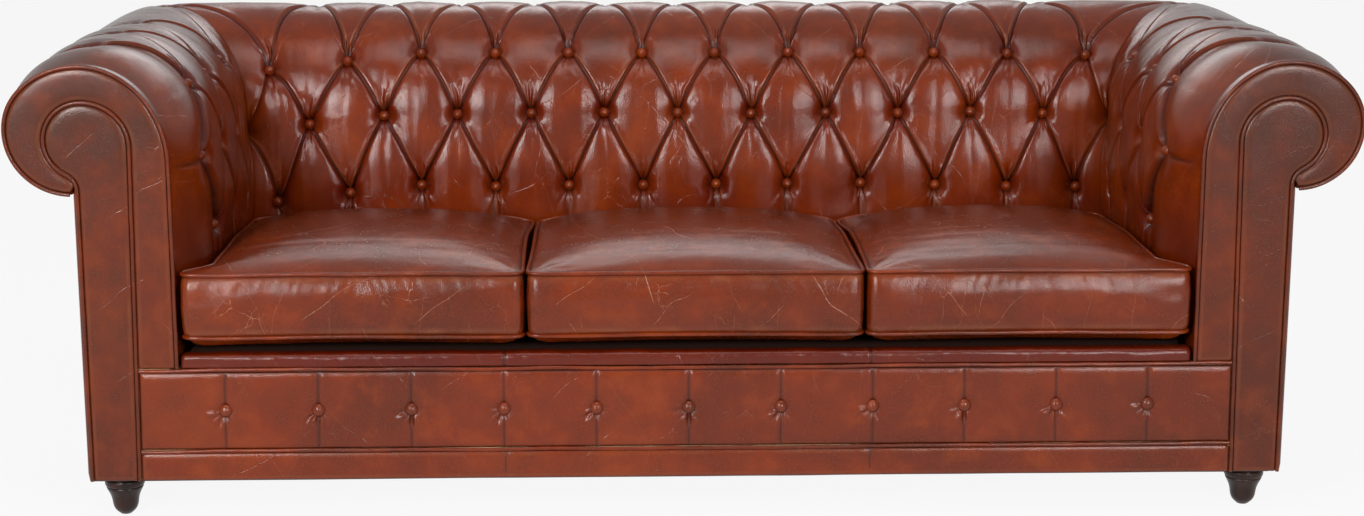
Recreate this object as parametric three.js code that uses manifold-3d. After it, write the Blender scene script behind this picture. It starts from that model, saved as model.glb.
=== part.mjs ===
// A three-seat chesterfield sofa in buttoned leather, with a hardwood frame, a webbed seat and
// three loose cushions. Lengths are millimetres. X runs along the sofa, Y from front to back and
// Z up from the floor; the origin is on the floor under the middle of the sofa.
import * as THREE from "three";
import { mergeVertices } from "three/addons/utils/BufferGeometryUtils.js";
import Module from "manifold-3d";

const wasm = await Module();
wasm.setup();

// Overall sizes
const sofaWidth = 2200;
const sofaDepth = 900;
const crestHeight = 760;
const footHeight = 70;
const clearance = 0.3;
const cutOverrun = 2;

// Scroll line of the arms and the back, measured outwards from their inner faces
const rollReach = 260;
const crestShare = 0.527;
const rollShare = 0.4;
const postShare = 0.5923;
const shoulderHeight = 160;
const backLean = 22;

// Bands of the front, from the underside upwards
const baseBandHeight = 50;
const borderHeight = 138;
const lipHeight = 26;
const deckRise = 8;
const skinThickness = 6.4;
const weltDiameter = 6.4;
const weltSides = 8;
const weltJoinTurn = 112.5;
const weltNeckShare = 0.6;
const frontPuff = 2.5;

// Quilting: how far the leather stands off the scroll line, and where its buttons are
const padWrap = 12;
const buttonStand = 18;
const crestStand = 5;
const faceSwell = 25;
const crestSwell = 13;
const pleatShare = 0.36;
const tuckedLength = 140;
const tuckSteps = 2;
const backRollSteps = 2;
const armRollSteps = 3;
const topRowPitch = 147;
const middleRowPitch = 97;
const lowRowPitch = 135;
const backHalfColumns = 6;
const armColumns = 3;
const armFirstColumn = 165;
const armFrontFlat = 30;
const armFrontShares = [0.18, 0.36, 0.54, 0.76];
const armFrontSwellShare = 0.8;
const armStandShare = 0.7;
const buttonRadius = 9.5;
const buttonCrownRadius = 7;
const buttonProud = 8;
const buttonSunk = 4;
const buttonSides = 5;

// Front border: buttons in one row, with a seam through each
const borderButtons = 11;
const borderPitches = 11.9;
const borderSeamDepth = 3;
const borderSeamWidth = 18;
const borderNearSeam = 14;
const borderRowShares = [0, 0.14, 0.34, 0.5, 0.66, 0.86, 1];
const borderDimpleDepth = 3.5;
const borderButtonProud = 3;
const borderButtonSunk = 2;

// Inner panel of the arm facing
const seamOutShare = 0.2346;
const seamFlare = 8;
const facingDropShare = 0.5;
const facingCrestShare = 0.523;
const facingRadiusShare = 0.2385;
const facingRise = 10;
const facingNeckTurn = 62;
const facingBevel = 2.6;
const facingSteps = 7;

// Timber frame
const boardThickness = 25;
const railThickness = 28;
const railTop = 256;
const postSize = 40;
const outsideThickness = 8;
const formerThickness = 10;
const scrollSteps = 5;
const formerStartShare = 0.2;
const formerEndShare = 0.4;
const braceThickness = 28;
const braceDrop = 22;
const braceHeight = 90;
const uprightSpacing = 640;
const uprightThickness = 30;
const tackRailHeight = 45;
const tackRailThickness = 25;
const tackRailRise = 40;

// Seat platform
const webThickness = 2;
const webStrapWidth = 60;
const webStraps = 9;
const webCrossStraps = 3;
const deckInset = 18;
const deckChamfer = 6;
const lipDepth = 33;
const lipRound = 9;
const lipSideGap = 7;
const dustCoverThickness = 1.4;
const dustCoverHoleGap = 2;

// Feet, their bolts and the blocks that hold them
const footTopRadius = 33;
const footRadiusShares = [0.26, 0.45, 0.6, 0.66, 0.79, 0.94, 1, 1, 0.93, 0.93];
const footRiseShares = [0, 0.07, 0.19, 0.36, 0.53, 0.7, 0.77, 0.88, 0.94, 1];
const footSides = 14;
const footSideInset = 50;
const footFrontInset = 50;
const footRearInset = 72;
const boltRadius = 4;
const boltInFoot = 34;
const boltInBlock = 46;
const blockHeight = 60;
const blockWidth = 78;
const blockLength = 66;

// Loose cushions: where the seat is shared out between them, and one section for all
const cushionNames = ["left", "middle", "right"];
const cushionSeamShares = [0, 0.338, 0.676, 1];
const cushionGap = 10;
const cushionSideGap = 11;
const cushionFrontGap = 8;
const cushionBackGap = 52;
const cushionEdge = 105;
const cushionCrown = 38;
const cushionCrownPower = 2.8;
const cushionTopShares = [0.88, 0.66, 0.36];
const cushionBelly = 19;
const cushionBellyPower = 4;
const cushionUnderShares = [0.9, 0.72];
const cushionUnderFlatShare = 0.63;
const cushionCorner = 18;
const cushionRearSag = 8;
const cushionCornerSag = 16;
const cushionSagPower = 4;
const cushionBulge = 5;
const cushionDrawIn = 5;
const cushionSqueeze = 40;
const cushionSqueezeLength = 70;
const cushionSideShares = [0.04, 0.08, 0.135, 0.44, 0.77];
const cushionEdgeShares = [0.25, 0.5, 0.75];
const cushionWeltProud = 3.2;
const cushionWeltHeight = 7;
const cushionWall = 9;
const coreUnderShare = 0.66;
const coreTopShares = [0.82, 0.42];
const zipLengthShare = 0.72;
const zipHeight = 11;
const zipThickness = 3;
const zipSliderLength = 14;

// Levels and faces that follow from the sizes above
const crestSetBack = rollReach * crestShare;
const rollRadius = rollReach * rollShare;
const postWidth = rollReach * postShare;
const innerFace = sofaWidth / 2 - rollReach;
const backFace = sofaDepth - rollReach - backLean;
const baseBandTop = footHeight + baseBandHeight;
const borderTop = baseBandTop + borderHeight;
const lipTop = borderTop + lipHeight;
const deckTop = lipTop + deckRise;
const weltRadius = weltDiameter / 2;
const weltChannel = weltRadius + clearance;
const shoulderLevel = crestHeight - shoulderHeight;
const rollCentre = crestHeight - rollRadius;
const rollMiddleOut = rollReach - rollRadius;
const outsideFace = innerFace + postWidth;
const rearFace = backFace + postWidth;
const frameBottom = footHeight + clearance;
const frameSide = outsideFace - outsideThickness - clearance;
const frameRear = rearFace - outsideThickness - clearance;
const boardFront = skinThickness + clearance;
const boardRear = boardFront + boardThickness;
const boardEdge = innerFace + padWrap + clearance;

const seamOut = rollReach * seamOutShare;
const facingShoulder = crestHeight - rollReach * facingDropShare;
const facingCrestOut = rollReach * facingCrestShare;
const facingRadius = rollReach * facingRadiusShare;
const borderButtonPitch = (2 * (innerFace + seamOut + seamFlare)) / borderPitches;
const cushionDepth = backFace - cushionFrontGap - cushionBackGap;

// Length along the scroll line, from the top of the front border
const riseLength = shoulderLevel - borderTop;
const shoulderLength = quarterLength(crestSetBack, shoulderHeight);
const crownLength = quarterLength(rollReach - crestSetBack, rollRadius);
const underLength = quarterLength(rollRadius, rollRadius);
const crestGirth = riseLength + shoulderLength;
const outerGirth = crestGirth + crownLength;
const endGirth = outerGirth + underLength;
const middleRowGirth = crestGirth - topRowPitch;
const buttonRowGirth = middleRowGirth - middleRowPitch;
const lowRowGirth = buttonRowGirth - lowRowPitch;
const rowGirths = [lowRowGirth, buttonRowGirth, middleRowGirth];

// Leather and timber finishes
const leather = { color: 0x7a3a1e, roughness: 0.38, metalness: 0 };
const darkLeather = { color: 0x6a301a, roughness: 0.4, metalness: 0 };
const beech = { color: 0xc49a6c, roughness: 0.7, metalness: 0 };
const darkWood = { color: 0x2c1813, roughness: 0.35, metalness: 0 };
const foam = { color: 0xe8dcb4, roughness: 0.95, metalness: 0 };
const cloth = { color: 0x24211f, roughness: 0.95, metalness: 0 };
const jute = { color: 0x8d7350, roughness: 0.95, metalness: 0 };
const steel = { color: 0xa7a9ab, roughness: 0.35, metalness: 0.9 };
const brass = { color: 0xb08d4a, roughness: 0.35, metalness: 0.9 };

const sofa = new THREE.Group();
sofa.position.y = -sofaDepth / 2;

function quarterLength(a, b) {
  return (Math.PI / 2) * Math.hypot(a, b) * Math.SQRT1_2;
}

function fade(value, from, to) {
  return THREE.MathUtils.smoothstep(value, from, to);
}

function mix(a, b, share) {
  return a + (b - a) * share;
}

function part(of) {
  return of - Math.floor(of);
}

function steps(from, to, count) {
  return Array.from({ length: count + 1 }, (_, i) => mix(from, to, i / count));
}

// Meshes and solids

function addMesh(name, geometry, finish, side = 1) {
  const mesh = new THREE.Mesh(geometry, new THREE.MeshStandardMaterial(finish));
  mesh.name = name;
  mesh.scale.x = side;
  sofa.add(mesh);
  return mesh;
}

// Builds one geometry for the right-hand side and mirrors it for the left.
function addPair(name, geometry, finish) {
  addMesh(name + "_right", geometry, finish);
  addMesh(name + "_left", geometry, finish, -1);
}

function solidOf(geometry) {
  const bare = new THREE.BufferGeometry();
  const plain = geometry.index ? geometry.toNonIndexed() : geometry;
  bare.setAttribute("position", plain.getAttribute("position"));
  const merged = mergeVertices(bare, 1e-3);
  return new wasm.Manifold(
    new wasm.Mesh({
      numProp: 3,
      vertProperties: merged.attributes.position.array,
      triVerts: new Uint32Array(merged.index.array),
    }),
  );
}

function geometryOf(solid) {
  const mesh = solid.getMesh();
  const geometry = new THREE.BufferGeometry();
  geometry.setAttribute("position", new THREE.BufferAttribute(mesh.vertProperties, 3));
  geometry.setIndex(new THREE.BufferAttribute(mesh.triVerts, 1));
  return geometry;
}

// A geometry from points and triangles, turned so that its faces point out.
function shellGeometry(points, triangles) {
  let volume = 0;
  for (const [a, b, c] of triangles) {
    volume += points[a].dot(new THREE.Vector3().crossVectors(points[b], points[c]));
  }
  const facing = volume < 0 ? triangles.map(([a, b, c]) => [a, c, b]) : triangles;
  const geometry = new THREE.BufferGeometry().setFromPoints(points);
  geometry.setIndex(facing.flat());
  return geometry;
}

function block(x0, x1, y0, y1, z0, z1) {
  const geometry = new THREE.BoxGeometry(x1 - x0, y1 - y0, z1 - z0);
  return geometry.translate((x0 + x1) / 2, (y0 + y1) / 2, (z0 + z1) / 2);
}

// Stands an outline of [out, up] points upright and gives it thickness from front to rear.
function upright(outline, front, rear, bevel = 0) {
  const shape = new THREE.Shape(outline.map(([out, up]) => new THREE.Vector2(out, up)));
  const geometry = new THREE.ExtrudeGeometry(shape, {
    depth: rear - front - 2 * bevel,
    bevelEnabled: bevel > 0,
    bevelThickness: bevel,
    bevelSize: bevel,
    bevelOffset: -bevel,
    bevelSegments: 2,
    steps: 1,
  });
  geometry.rotateX(Math.PI / 2);
  return geometry.translate(innerFace, rear - bevel, 0);
}

function arc(centreOut, centreUp, radiusOut, radiusUp, from, to, count) {
  return steps(from, to, count).map((degrees) => {
    const angle = THREE.MathUtils.degToRad(degrees);
    return [centreOut + radiusOut * Math.cos(angle), centreUp + radiusUp * Math.sin(angle)];
  });
}

// The scroll line

// Point and outward normal at a length along the scroll line, drawn in by an inset.
function scrollAt(girth, inset = 0) {
  if (girth <= riseLength) {
    return { out: inset, up: borderTop + girth, normal: new THREE.Vector2(-1, 0) };
  }
  const quarter = Math.PI / 2;
  if (girth <= crestGirth) {
    const angle = ((girth - riseLength) / shoulderLength) * quarter;
    return {
      out: crestSetBack - (crestSetBack - inset) * Math.cos(angle),
      up: shoulderLevel + (shoulderHeight - inset) * Math.sin(angle),
      normal: new THREE.Vector2(-Math.cos(angle), Math.sin(angle)),
    };
  }
  if (girth <= outerGirth) {
    const angle = ((girth - crestGirth) / crownLength) * quarter;
    return {
      out: crestSetBack + (rollReach - crestSetBack - inset) * Math.sin(angle),
      up: rollCentre + (rollRadius - inset) * Math.cos(angle),
      normal: new THREE.Vector2(Math.sin(angle), Math.cos(angle)),
    };
  }
  const angle = ((girth - outerGirth) / underLength) * quarter;
  return {
    out: rollMiddleOut + (rollRadius - inset) * Math.cos(angle),
    up: rollCentre - (rollRadius - inset) * Math.sin(angle),
    normal: new THREE.Vector2(Math.cos(angle), -Math.sin(angle)),
  };
}

// Lengths along the scroll line, with the same number of steps in each of its quarters.
function scrollGirths(from, to, perQuarter) {
  const marks = [riseLength, crestGirth, outerGirth, endGirth];
  const found = [from];
  let start = riseLength;
  for (const mark of marks) {
    const inQuarter = mark === riseLength ? [mark] : steps(start, mark, perQuarter).slice(1);
    found.push(...inQuarter.filter((girth) => girth > from && girth < to));
    start = mark;
  }
  return [...found, to];
}

function scrollLine(girths, inset) {
  return girths.map((girth) => {
    const { out, up } = scrollAt(girth, inset);
    return [out, up];
  });
}

function leanAt(up) {
  return (backLean * (up - borderTop)) / (crestHeight - borderTop);
}

function backDepthAt(out, up) {
  return backFace + out + leanAt(up);
}

// A closed outline of [out, up] points run between two ends, each a function of out and up.
function run(outline, startOf, endOf) {
  const contour = outline.map(([out, up]) => new THREE.Vector2(out, up));
  if (THREE.ShapeUtils.isClockWise(contour)) return run([...outline].reverse(), startOf, endOf);
  const caps = THREE.ShapeUtils.triangulateShape(contour, []);
  const count = outline.length;
  const points = [startOf, endOf].flatMap((endAt) => outline.map(([out, up]) => endAt(out, up)));
  const triangles = [];
  for (const [a, b, c] of caps) {
    triangles.push([a, b, c], [count + a, count + c, count + b]);
  }
  for (let i = 0; i < count; i++) {
    const next = (i + 1) % count;
    triangles.push([i, count + i, next], [next, count + i, count + next]);
  }
  return shellGeometry(points, triangles);
}

// Quilted pads

// Share of the full swell at a place in the diamonds: 0 at a button, 1 in the middle of one.
function quiltShare(across, rows) {
  const pillow = (t) => 4 * t * (1 - t);
  if (rows >= 2) return pillow(part(across));
  if (rows <= -1) return pillow(part(across + 0.5));
  const a = pillow(part(across + rows / 2));
  const b = pillow(part(across - rows / 2));
  return pleatShare * Math.max(a, b) + (1 - pleatShare) * Math.sqrt(a * b);
}

// Height of the button knots, and of the swell between them, over the scroll line.
function standAt(girth) {
  const low = fade(girth, 0, tuckedLength);
  if (girth <= riseLength) return buttonStand * low;
  if (girth <= crestGirth) {
    return mix(buttonStand, crestStand, (girth - riseLength) / shoulderLength);
  }
  return mix(crestStand, 0, (girth - crestGirth) / (endGirth - crestGirth));
}

function swellAt(girth) {
  const low = fade(girth, 0, tuckedLength);
  if (girth <= riseLength) return faceSwell * low;
  if (girth <= crestGirth) {
    return mix(faceSwell, crestSwell, (girth - riseLength) / shoulderLength);
  }
  return mix(crestSwell, 0, (girth - crestGirth) / (endGirth - crestGirth));
}

// Where the diamonds of an arm begin: a zigzag from the first buttons, straight beyond the rows.
function armQuiltStart(rows, pitch) {
  const inRows = THREE.MathUtils.clamp(rows, -1, 2);
  return armFirstColumn + (pitch / 2) * (1 - Math.abs(1 - Math.abs(inRows)));
}

// Rows of knots are numbered from -1, the lowest, to 2, the last, on the crest.
function rowsAt(girth) {
  if (girth <= buttonRowGirth) return (girth - buttonRowGirth) / lowRowPitch;
  if (girth <= middleRowGirth) return (girth - buttonRowGirth) / middleRowPitch;
  return 1 + (girth - middleRowGirth) / topRowPitch;
}

function backHeight(along, girth, pitch) {
  const rows = rowsAt(girth);
  return standAt(girth) + swellAt(girth) * quiltShare(along / pitch, rows);
}

function armHeight(along, girth, pitch) {
  const rows = rowsAt(girth);
  const start = armQuiltStart(rows, pitch);
  const full = (place) => quiltShare((place - armFirstColumn) / pitch, rows);
  if (along >= start) return standAt(girth) + swellAt(girth) * full(along);
  const reached = Math.max(along - armFrontFlat, 0) / (start - armFrontFlat);
  const plain = armFrontSwellShare * Math.sin(Math.PI * reached);
  const quilted = full(start) * reached;
  const share = quilted + plain * (1 - quilted);
  return standAt(girth) * fade(reached, 0, armStandShare) + swellAt(girth) * share;
}

// A quilted pad: a fine leather face over a plain inner face, both closed along their edges. The
// face is split along the diagonals that its pleats follow from knot to knot.
// place puts a point (along, out, up) in space.
function quiltedPad(stations, firstStation, rollSteps, heightAt, pitch, place) {
  const startGirth = clearance + weltRadius;
  const faceGirths = [
    ...steps(startGirth, lowRowGirth, tuckSteps),
    ...steps(lowRowGirth, buttonRowGirth, 2).slice(1),
    ...steps(buttonRowGirth, middleRowGirth, 2).slice(1),
    ...steps(middleRowGirth, crestGirth, 2).slice(1),
    ...steps(crestGirth, outerGirth, rollSteps).slice(1),
    ...steps(outerGirth, endGirth, rollSteps).slice(1),
  ];
  const innerGirths = scrollGirths(startGirth, endGirth, scrollSteps);
  const points = [];
  const triangles = [];
  const face = stations.map((along) =>
    faceGirths.map((girth) => {
      const at = scrollAt(girth);
      const height = heightAt(along, girth, pitch);
      const out = at.out + at.normal.x * height;
      const up = at.up + at.normal.y * height;
      return points.push(place(along, out, up)) - 1;
    }),
  );
  const inner = [stations[0], stations.at(-1)].map((along) =>
    innerGirths.map((girth) => {
      const at = scrollAt(girth, padWrap);
      return points.push(place(along, at.out, at.up)) - 1;
    }),
  );
  const columns = stations.length - 1;
  const rows = faceGirths.length - 1;
  for (let i = 0; i < columns; i++) {
    for (let j = 0; j < rows; j++) {
      const [a, b, c, d] = [face[i][j], face[i + 1][j], face[i + 1][j + 1], face[i][j + 1]];
      const fromKnot = i - firstStation + j - tuckSteps;
      const falls = THREE.MathUtils.euclideanModulo(fromKnot, 2) === 1;
      if (falls) triangles.push([a, b, d], [b, c, d]);
      else triangles.push([a, b, c], [a, c, d]);
    }
  }
  for (let k = 0; k < innerGirths.length - 1; k++) {
    const [a, b, c, d] = [inner[0][k], inner[1][k], inner[1][k + 1], inner[0][k + 1]];
    triangles.push([a, c, b], [a, d, c]);
  }
  // The long edges join the fine face to the plain inner face in a fan from each end.
  const half = Math.floor(columns / 2);
  for (const [edge, back] of [
    [face.map((line) => line[0]), inner.map((line) => line[0])],
    [face.map((line) => line.at(-1)).reverse(), inner.map((line) => line.at(-1)).reverse()],
  ]) {
    for (let i = 0; i < columns; i++) {
      triangles.push([edge[i], i < half ? back[0] : back[1], edge[i + 1]]);
    }
    triangles.push([edge[half], back[0], back[1]]);
  }
  for (const [line, back, turned] of [
    [face[0], inner[0], false],
    [face.at(-1), inner[1], true],
  ]) {
    const ring = [...line, ...[...back].reverse()];
    const along = turned ? stations.at(-1) : stations[0];
    const flat = ringOutline(faceGirths, innerGirths, along, heightAt, pitch);
    for (const [a, b, c] of THREE.ShapeUtils.triangulateShape(flat, [])) {
      const turn = turned ? [a, b, c] : [a, c, b];
      triangles.push(turn.map((index) => ring[index]));
    }
  }
  return shellGeometry(points, triangles);
}

// The end of a pad as a flat outline, in the order of its ring of points.
function ringOutline(faceGirths, innerGirths, along, heightAt, pitch) {
  const outer = faceGirths.map((girth) => {
    const at = scrollAt(girth);
    const height = heightAt(along, girth, pitch);
    return new THREE.Vector2(at.out + at.normal.x * height, at.up + at.normal.y * height);
  });
  const inside = innerGirths.map((girth) => {
    const at = scrollAt(girth, padWrap);
    return new THREE.Vector2(at.out, at.up);
  });
  return [...outer, ...inside.reverse()];
}

// A covered button, sunk in its knot and turned to face along the normal.
function buttonSolid(at, normal, proud = buttonProud, sunk = buttonSunk) {
  const height = proud + sunk;
  const geometry = new THREE.CylinderGeometry(buttonCrownRadius, buttonRadius, height, buttonSides);
  geometry.translate(0, height / 2 - sunk, 0);
  const turn = new THREE.Quaternion().setFromUnitVectors(new THREE.Vector3(0, 1, 0), normal);
  geometry.applyQuaternion(turn).translate(at.x, at.y, at.z);
  return solidOf(geometry);
}

// Sews a button into each knot of a pad, row by row.
function withButtons(pad, knots, heightAt, pitch, place) {
  let solid = solidOf(pad);
  for (const { along, girth } of knots) {
    const at = scrollAt(girth);
    const height = heightAt(along, girth, pitch);
    const knot = place(along, at.out + at.normal.x * height, at.up + at.normal.y * height);
    const foot = place(along, at.out, at.up);
    const normal = knot.clone().sub(foot).normalize();
    solid = solid.add(buttonSolid(knot, normal));
  }
  return geometryOf(solid);
}

function backPad() {
  const pitch = (innerFace - buttonStand) / backHalfColumns;
  const straight = pitch * (backHalfColumns - 1);
  const corner = pitch * backHalfColumns;
  const stations = steps(-corner, corner, backHalfColumns * 8);
  const place = (along, out, up) => {
    const past = Math.abs(along) - straight;
    const end = mix(straight, innerFace + out, past / pitch);
    const x = past > 0 ? Math.sign(along) * end : along;
    return new THREE.Vector3(x, backDepthAt(out, up), up);
  };
  const pad = quiltedPad(stations, 0, backRollSteps, backHeight, pitch, place);
  const knots = [];
  for (let row = -1; row <= 1; row++) {
    const shift = row === 0 ? 0 : 0.5;
    for (let column = -backHalfColumns + 1; column <= backHalfColumns - 1 + shift; column++) {
      knots.push({ along: (column - shift) * pitch, girth: rowGirths[row + 1] });
    }
  }
  addMesh("back_pad", withButtons(pad, knots, backHeight, pitch, place), leather);
}

function armPads() {
  const corner = backFace;
  const pitch = (corner - armFirstColumn) / armColumns;
  const straight = corner - pitch;
  const front = 2 * weltRadius + clearance;
  const mitreGap = clearance * Math.SQRT2;
  const frontStations = [front, ...armFrontShares.map((share) => armFirstColumn * share)];
  const stations = [...frontStations, ...steps(armFirstColumn, corner, armColumns * 4)];
  const place = (along, out, up) => {
    const past = Math.max(along - straight, 0) / pitch;
    const y = past > 0 ? mix(straight, backDepthAt(out, up) - mitreGap, past) : along;
    return new THREE.Vector3(innerFace + out, y, up);
  };
  const pad = quiltedPad(stations, frontStations.length, armRollSteps, armHeight, pitch, place);
  const knots = [];
  for (let row = -1; row <= 1; row++) {
    const shift = row === 0 ? 0 : 0.5;
    for (let column = 0; column < armColumns; column++) {
      const along = armFirstColumn + (column + shift) * pitch;
      knots.push({ along, girth: rowGirths[row + 1] });
    }
  }
  addPair("arm_pad", withButtons(pad, knots, armHeight, pitch, place), leather);
}

// Front of the arms

// Seam round the inner facing panel, from its foot at the sofa's inside to its foot at the outside.
function facingSeam(bottom) {
  const edge = postWidth - weltDiameter;
  const centreUp = facingShoulder + facingRise;
  const turn = THREE.MathUtils.degToRad(facingNeckTurn);
  const neckOut = facingCrestOut + facingRadius * Math.cos(turn);
  const neckUp = centreUp - facingRadius * Math.sin(turn);
  const control = neckUp - (neckOut - edge) / Math.tan(turn);
  const neck = new THREE.QuadraticBezierCurve(
    new THREE.Vector2(neckOut, neckUp),
    new THREE.Vector2(edge, control),
    new THREE.Vector2(edge, control - (neckOut - edge)),
  );
  const shoulder = facingCrestOut - seamOut;
  return [
    [seamOut + seamFlare, bottom],
    ...arc(facingCrestOut, facingShoulder, shoulder, facingRadius + facingRise, 180, 90, 6),
    ...arc(facingCrestOut, centreUp, facingRadius, facingRadius, 90, -facingNeckTurn, 10).slice(1),
    ...neck.getPoints(4).slice(1).map((at) => [at.x, at.y]),
    [edge, bottom],
  ];
}

// Moves an open line of [out, up] points sideways, towards the outside of its bend.
function shifted(line, distance) {
  const at = line.map(([out, up]) => new THREE.Vector2(out, up));
  return at.map((point, i) => {
    const before = at[Math.max(i - 1, 0)];
    const after = at[Math.min(i + 1, at.length - 1)];
    const first = i > 0 ? point.clone().sub(before).normalize() : after.clone().sub(point).normalize();
    const second = i < at.length - 1 ? after.clone().sub(point).normalize() : first;
    const along = first.clone().add(second).normalize();
    const normal = new THREE.Vector2(-along.y, along.x);
    const stretch = distance / along.dot(first);
    return [point.x + normal.x * stretch, point.y + normal.y * stretch];
  });
}

// Sweeps a section of [aside, depth] points along a line of [out, up] points.
function swept(line, section) {
  const count = section.length;
  const points = [];
  const triangles = [];
  const lines = section.map(([aside]) => shifted(line, aside));
  for (let i = 0; i < line.length; i++) {
    for (let k = 0; k < count; k++) {
      const [out, up] = lines[k][i];
      points.push(new THREE.Vector3(innerFace + out, section[k][1], up));
    }
  }
  for (let i = 0; i < line.length - 1; i++) {
    for (let k = 0; k < count; k++) {
      const next = (k + 1) % count;
      const [a, b] = [i * count + k, i * count + next];
      const [c, d] = [(i + 1) * count + next, (i + 1) * count + k];
      triangles.push([a, b, c], [a, c, d]);
    }
  }
  const flat = section.map(([aside, depth]) => new THREE.Vector2(aside, depth));
  const end = (line.length - 1) * count;
  for (const [a, b, c] of THREE.ShapeUtils.triangulateShape(flat, [])) {
    triangles.push([a, c, b], [end + a, end + b, end + c]);
  }
  return shellGeometry(points, triangles);
}

// Section of a piping with one cord, or with two side by side, flat against the depth zero.
function weltSection(cords) {
  const around = (degrees, aside, turned) => {
    const angle = THREE.MathUtils.degToRad(degrees);
    const across = weltRadius * Math.cos(angle);
    const deep = weltRadius * Math.sin(angle);
    return [turned * (aside + across), weltRadius + turned * deep];
  };
  if (cords === 1) {
    return steps(0, 360, weltSides).slice(1).map((degrees) => around(degrees, 0, 1));
  }
  const turns = steps(-weltJoinTurn, weltJoinTurn, weltSides - 3);
  const neck = weltRadius * weltNeckShare;
  return [
    ...turns.map((degrees) => around(degrees, weltRadius, 1)),
    [0, weltRadius + neck],
    ...turns.map((degrees) => around(degrees, weltRadius, -1)),
    [0, weltRadius - neck],
  ];
}

function armFacings() {
  const seam = facingSeam(footHeight);
  const halfPiping = weltDiameter + clearance;
  const panel = shifted(seam, -halfPiping).map(([out, up]) => [out, Math.max(up, footHeight)]);
  addPair("arm_facing_panel", upright(panel, 0, skinThickness, facingBevel), leather);
  addPair("arm_facing_piping", swept(seam, weltSection(2)), darkLeather);

  const edge = scrollLine(scrollGirths(weltDiameter, endGirth - weltDiameter, facingSteps), 0);
  addPair("arm_edge_piping", swept(edge, weltSection(1)), darkLeather);

  const insidePost = postWidth - weltDiameter;
  const rollBottom = rollCentre - rollRadius;
  const band = [
    ...shifted(edge, -weltChannel),
    [insidePost, rollBottom + weltChannel],
    [insidePost, borderTop + weltChannel],
  ];
  const blank = solidOf(upright(band, frontPuff, skinThickness));
  const channel = shifted(facingSeam(footHeight - cutOverrun), halfPiping);
  const cut = solidOf(upright(channel, -cutOverrun, skinThickness + cutOverrun));
  addPair("arm_facing_band", geometryOf(largest(blank.subtract(cut))), leather);
}

// The biggest of the pieces that a cut leaves.
function largest(solid) {
  const pieces = solid.decompose();
  return pieces.reduce((a, b) => (b.volume() > a.volume() ? b : a));
}

// Boards, rails and posts

function armBoards() {
  const girths = scrollGirths(clearance, endGirth, scrollSteps);
  const edge = postWidth - outsideThickness - clearance;
  const outline = [
    [padWrap + clearance, frameBottom],
    ...scrollLine(girths, padWrap + clearance),
    [edge, rollCentre - rollRadius + padWrap + clearance],
    [edge, frameBottom],
  ];
  addPair("arm_front_board", upright(outline, boardFront, boardRear), beech);
}

function formerOutline() {
  const first = riseLength + shoulderLength * formerStartShare;
  const last = outerGirth + underLength * formerEndShare;
  const girths = scrollGirths(first, last, scrollSteps);
  const inset = padWrap + clearance;
  const inside = scrollLine(girths, inset + formerThickness).reverse();
  return [...scrollLine(girths, inset), ...inside];
}

// Trims the top of a post to the underside of the formers of the back, and of the arms.
function underFormers(post, nearArm) {
  const inset = padWrap + formerThickness + 2 * clearance;
  const line = scrollLine(scrollGirths(clearance, endGirth, scrollSteps), inset);
  const outline = [[inset, frameBottom], ...line, [rollMiddleOut, frameBottom]];
  const backEnd = (side) => (out, up) => new THREE.Vector3(side * sofaWidth, backDepthAt(out, up), up);
  let solid = solidOf(post).intersect(solidOf(run(outline, backEnd(-1), backEnd(1))));
  if (nearArm) {
    const armEnd = (depth) => (out, up) => new THREE.Vector3(innerFace + out, depth, up);
    solid = solid.intersect(solidOf(run(outline, armEnd(0), armEnd(sofaDepth))));
  }
  return geometryOf(solid);
}

function rollFormers() {
  const outline = formerOutline();
  const mitreGap = clearance * Math.SQRT2;
  const armStart = (out, up) => new THREE.Vector3(innerFace + out, boardRear + clearance, up);
  const armEnd = (out, up) => new THREE.Vector3(innerFace + out, backDepthAt(out, up) - mitreGap, up);
  addPair("arm_roll_former", run(outline, armStart, armEnd), beech);
  const backEnd = (side) => (out, up) =>
    new THREE.Vector3(side * (innerFace + out), backDepthAt(out, up), up);
  addMesh("back_roll_former", run(outline, backEnd(-1), backEnd(1)), beech);
}

function seatFrame() {
  const railFront = frameRear - railThickness;
  const postInner = frameSide - postSize;
  const postFront = frameRear - postSize;
  const endX = boardEdge - clearance;
  const frontRear = boardFront + railThickness;
  const front = block(-endX, endX, boardFront, frontRear, frameBottom, railTop);
  addMesh("front_rail", front, beech);
  const rearX = postInner - clearance;
  addMesh("rear_rail", block(-rearX, rearX, railFront, frameRear, frameBottom, railTop), beech);
  const sideEnd = postFront - clearance;
  const sideStart = boardRear + clearance;
  const sideX = frameSide - railThickness;
  const rail = block(sideX, frameSide, sideStart, sideEnd, frameBottom, railTop);
  addPair("side_rail", rail, beech);
  const braceFront = frontRear + clearance;
  const braceRear = railFront - clearance;
  const braceTop = railTop - braceDrop;
  const half = braceThickness / 2;
  const brace = block(-half, half, braceFront, braceRear, braceTop - braceHeight, braceTop);
  addMesh("seat_brace", brace, beech);
  const post = block(postInner, frameSide, postFront, frameRear, frameBottom, crestHeight);
  addPair("corner_post", underFormers(post, true), beech);
}

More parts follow.
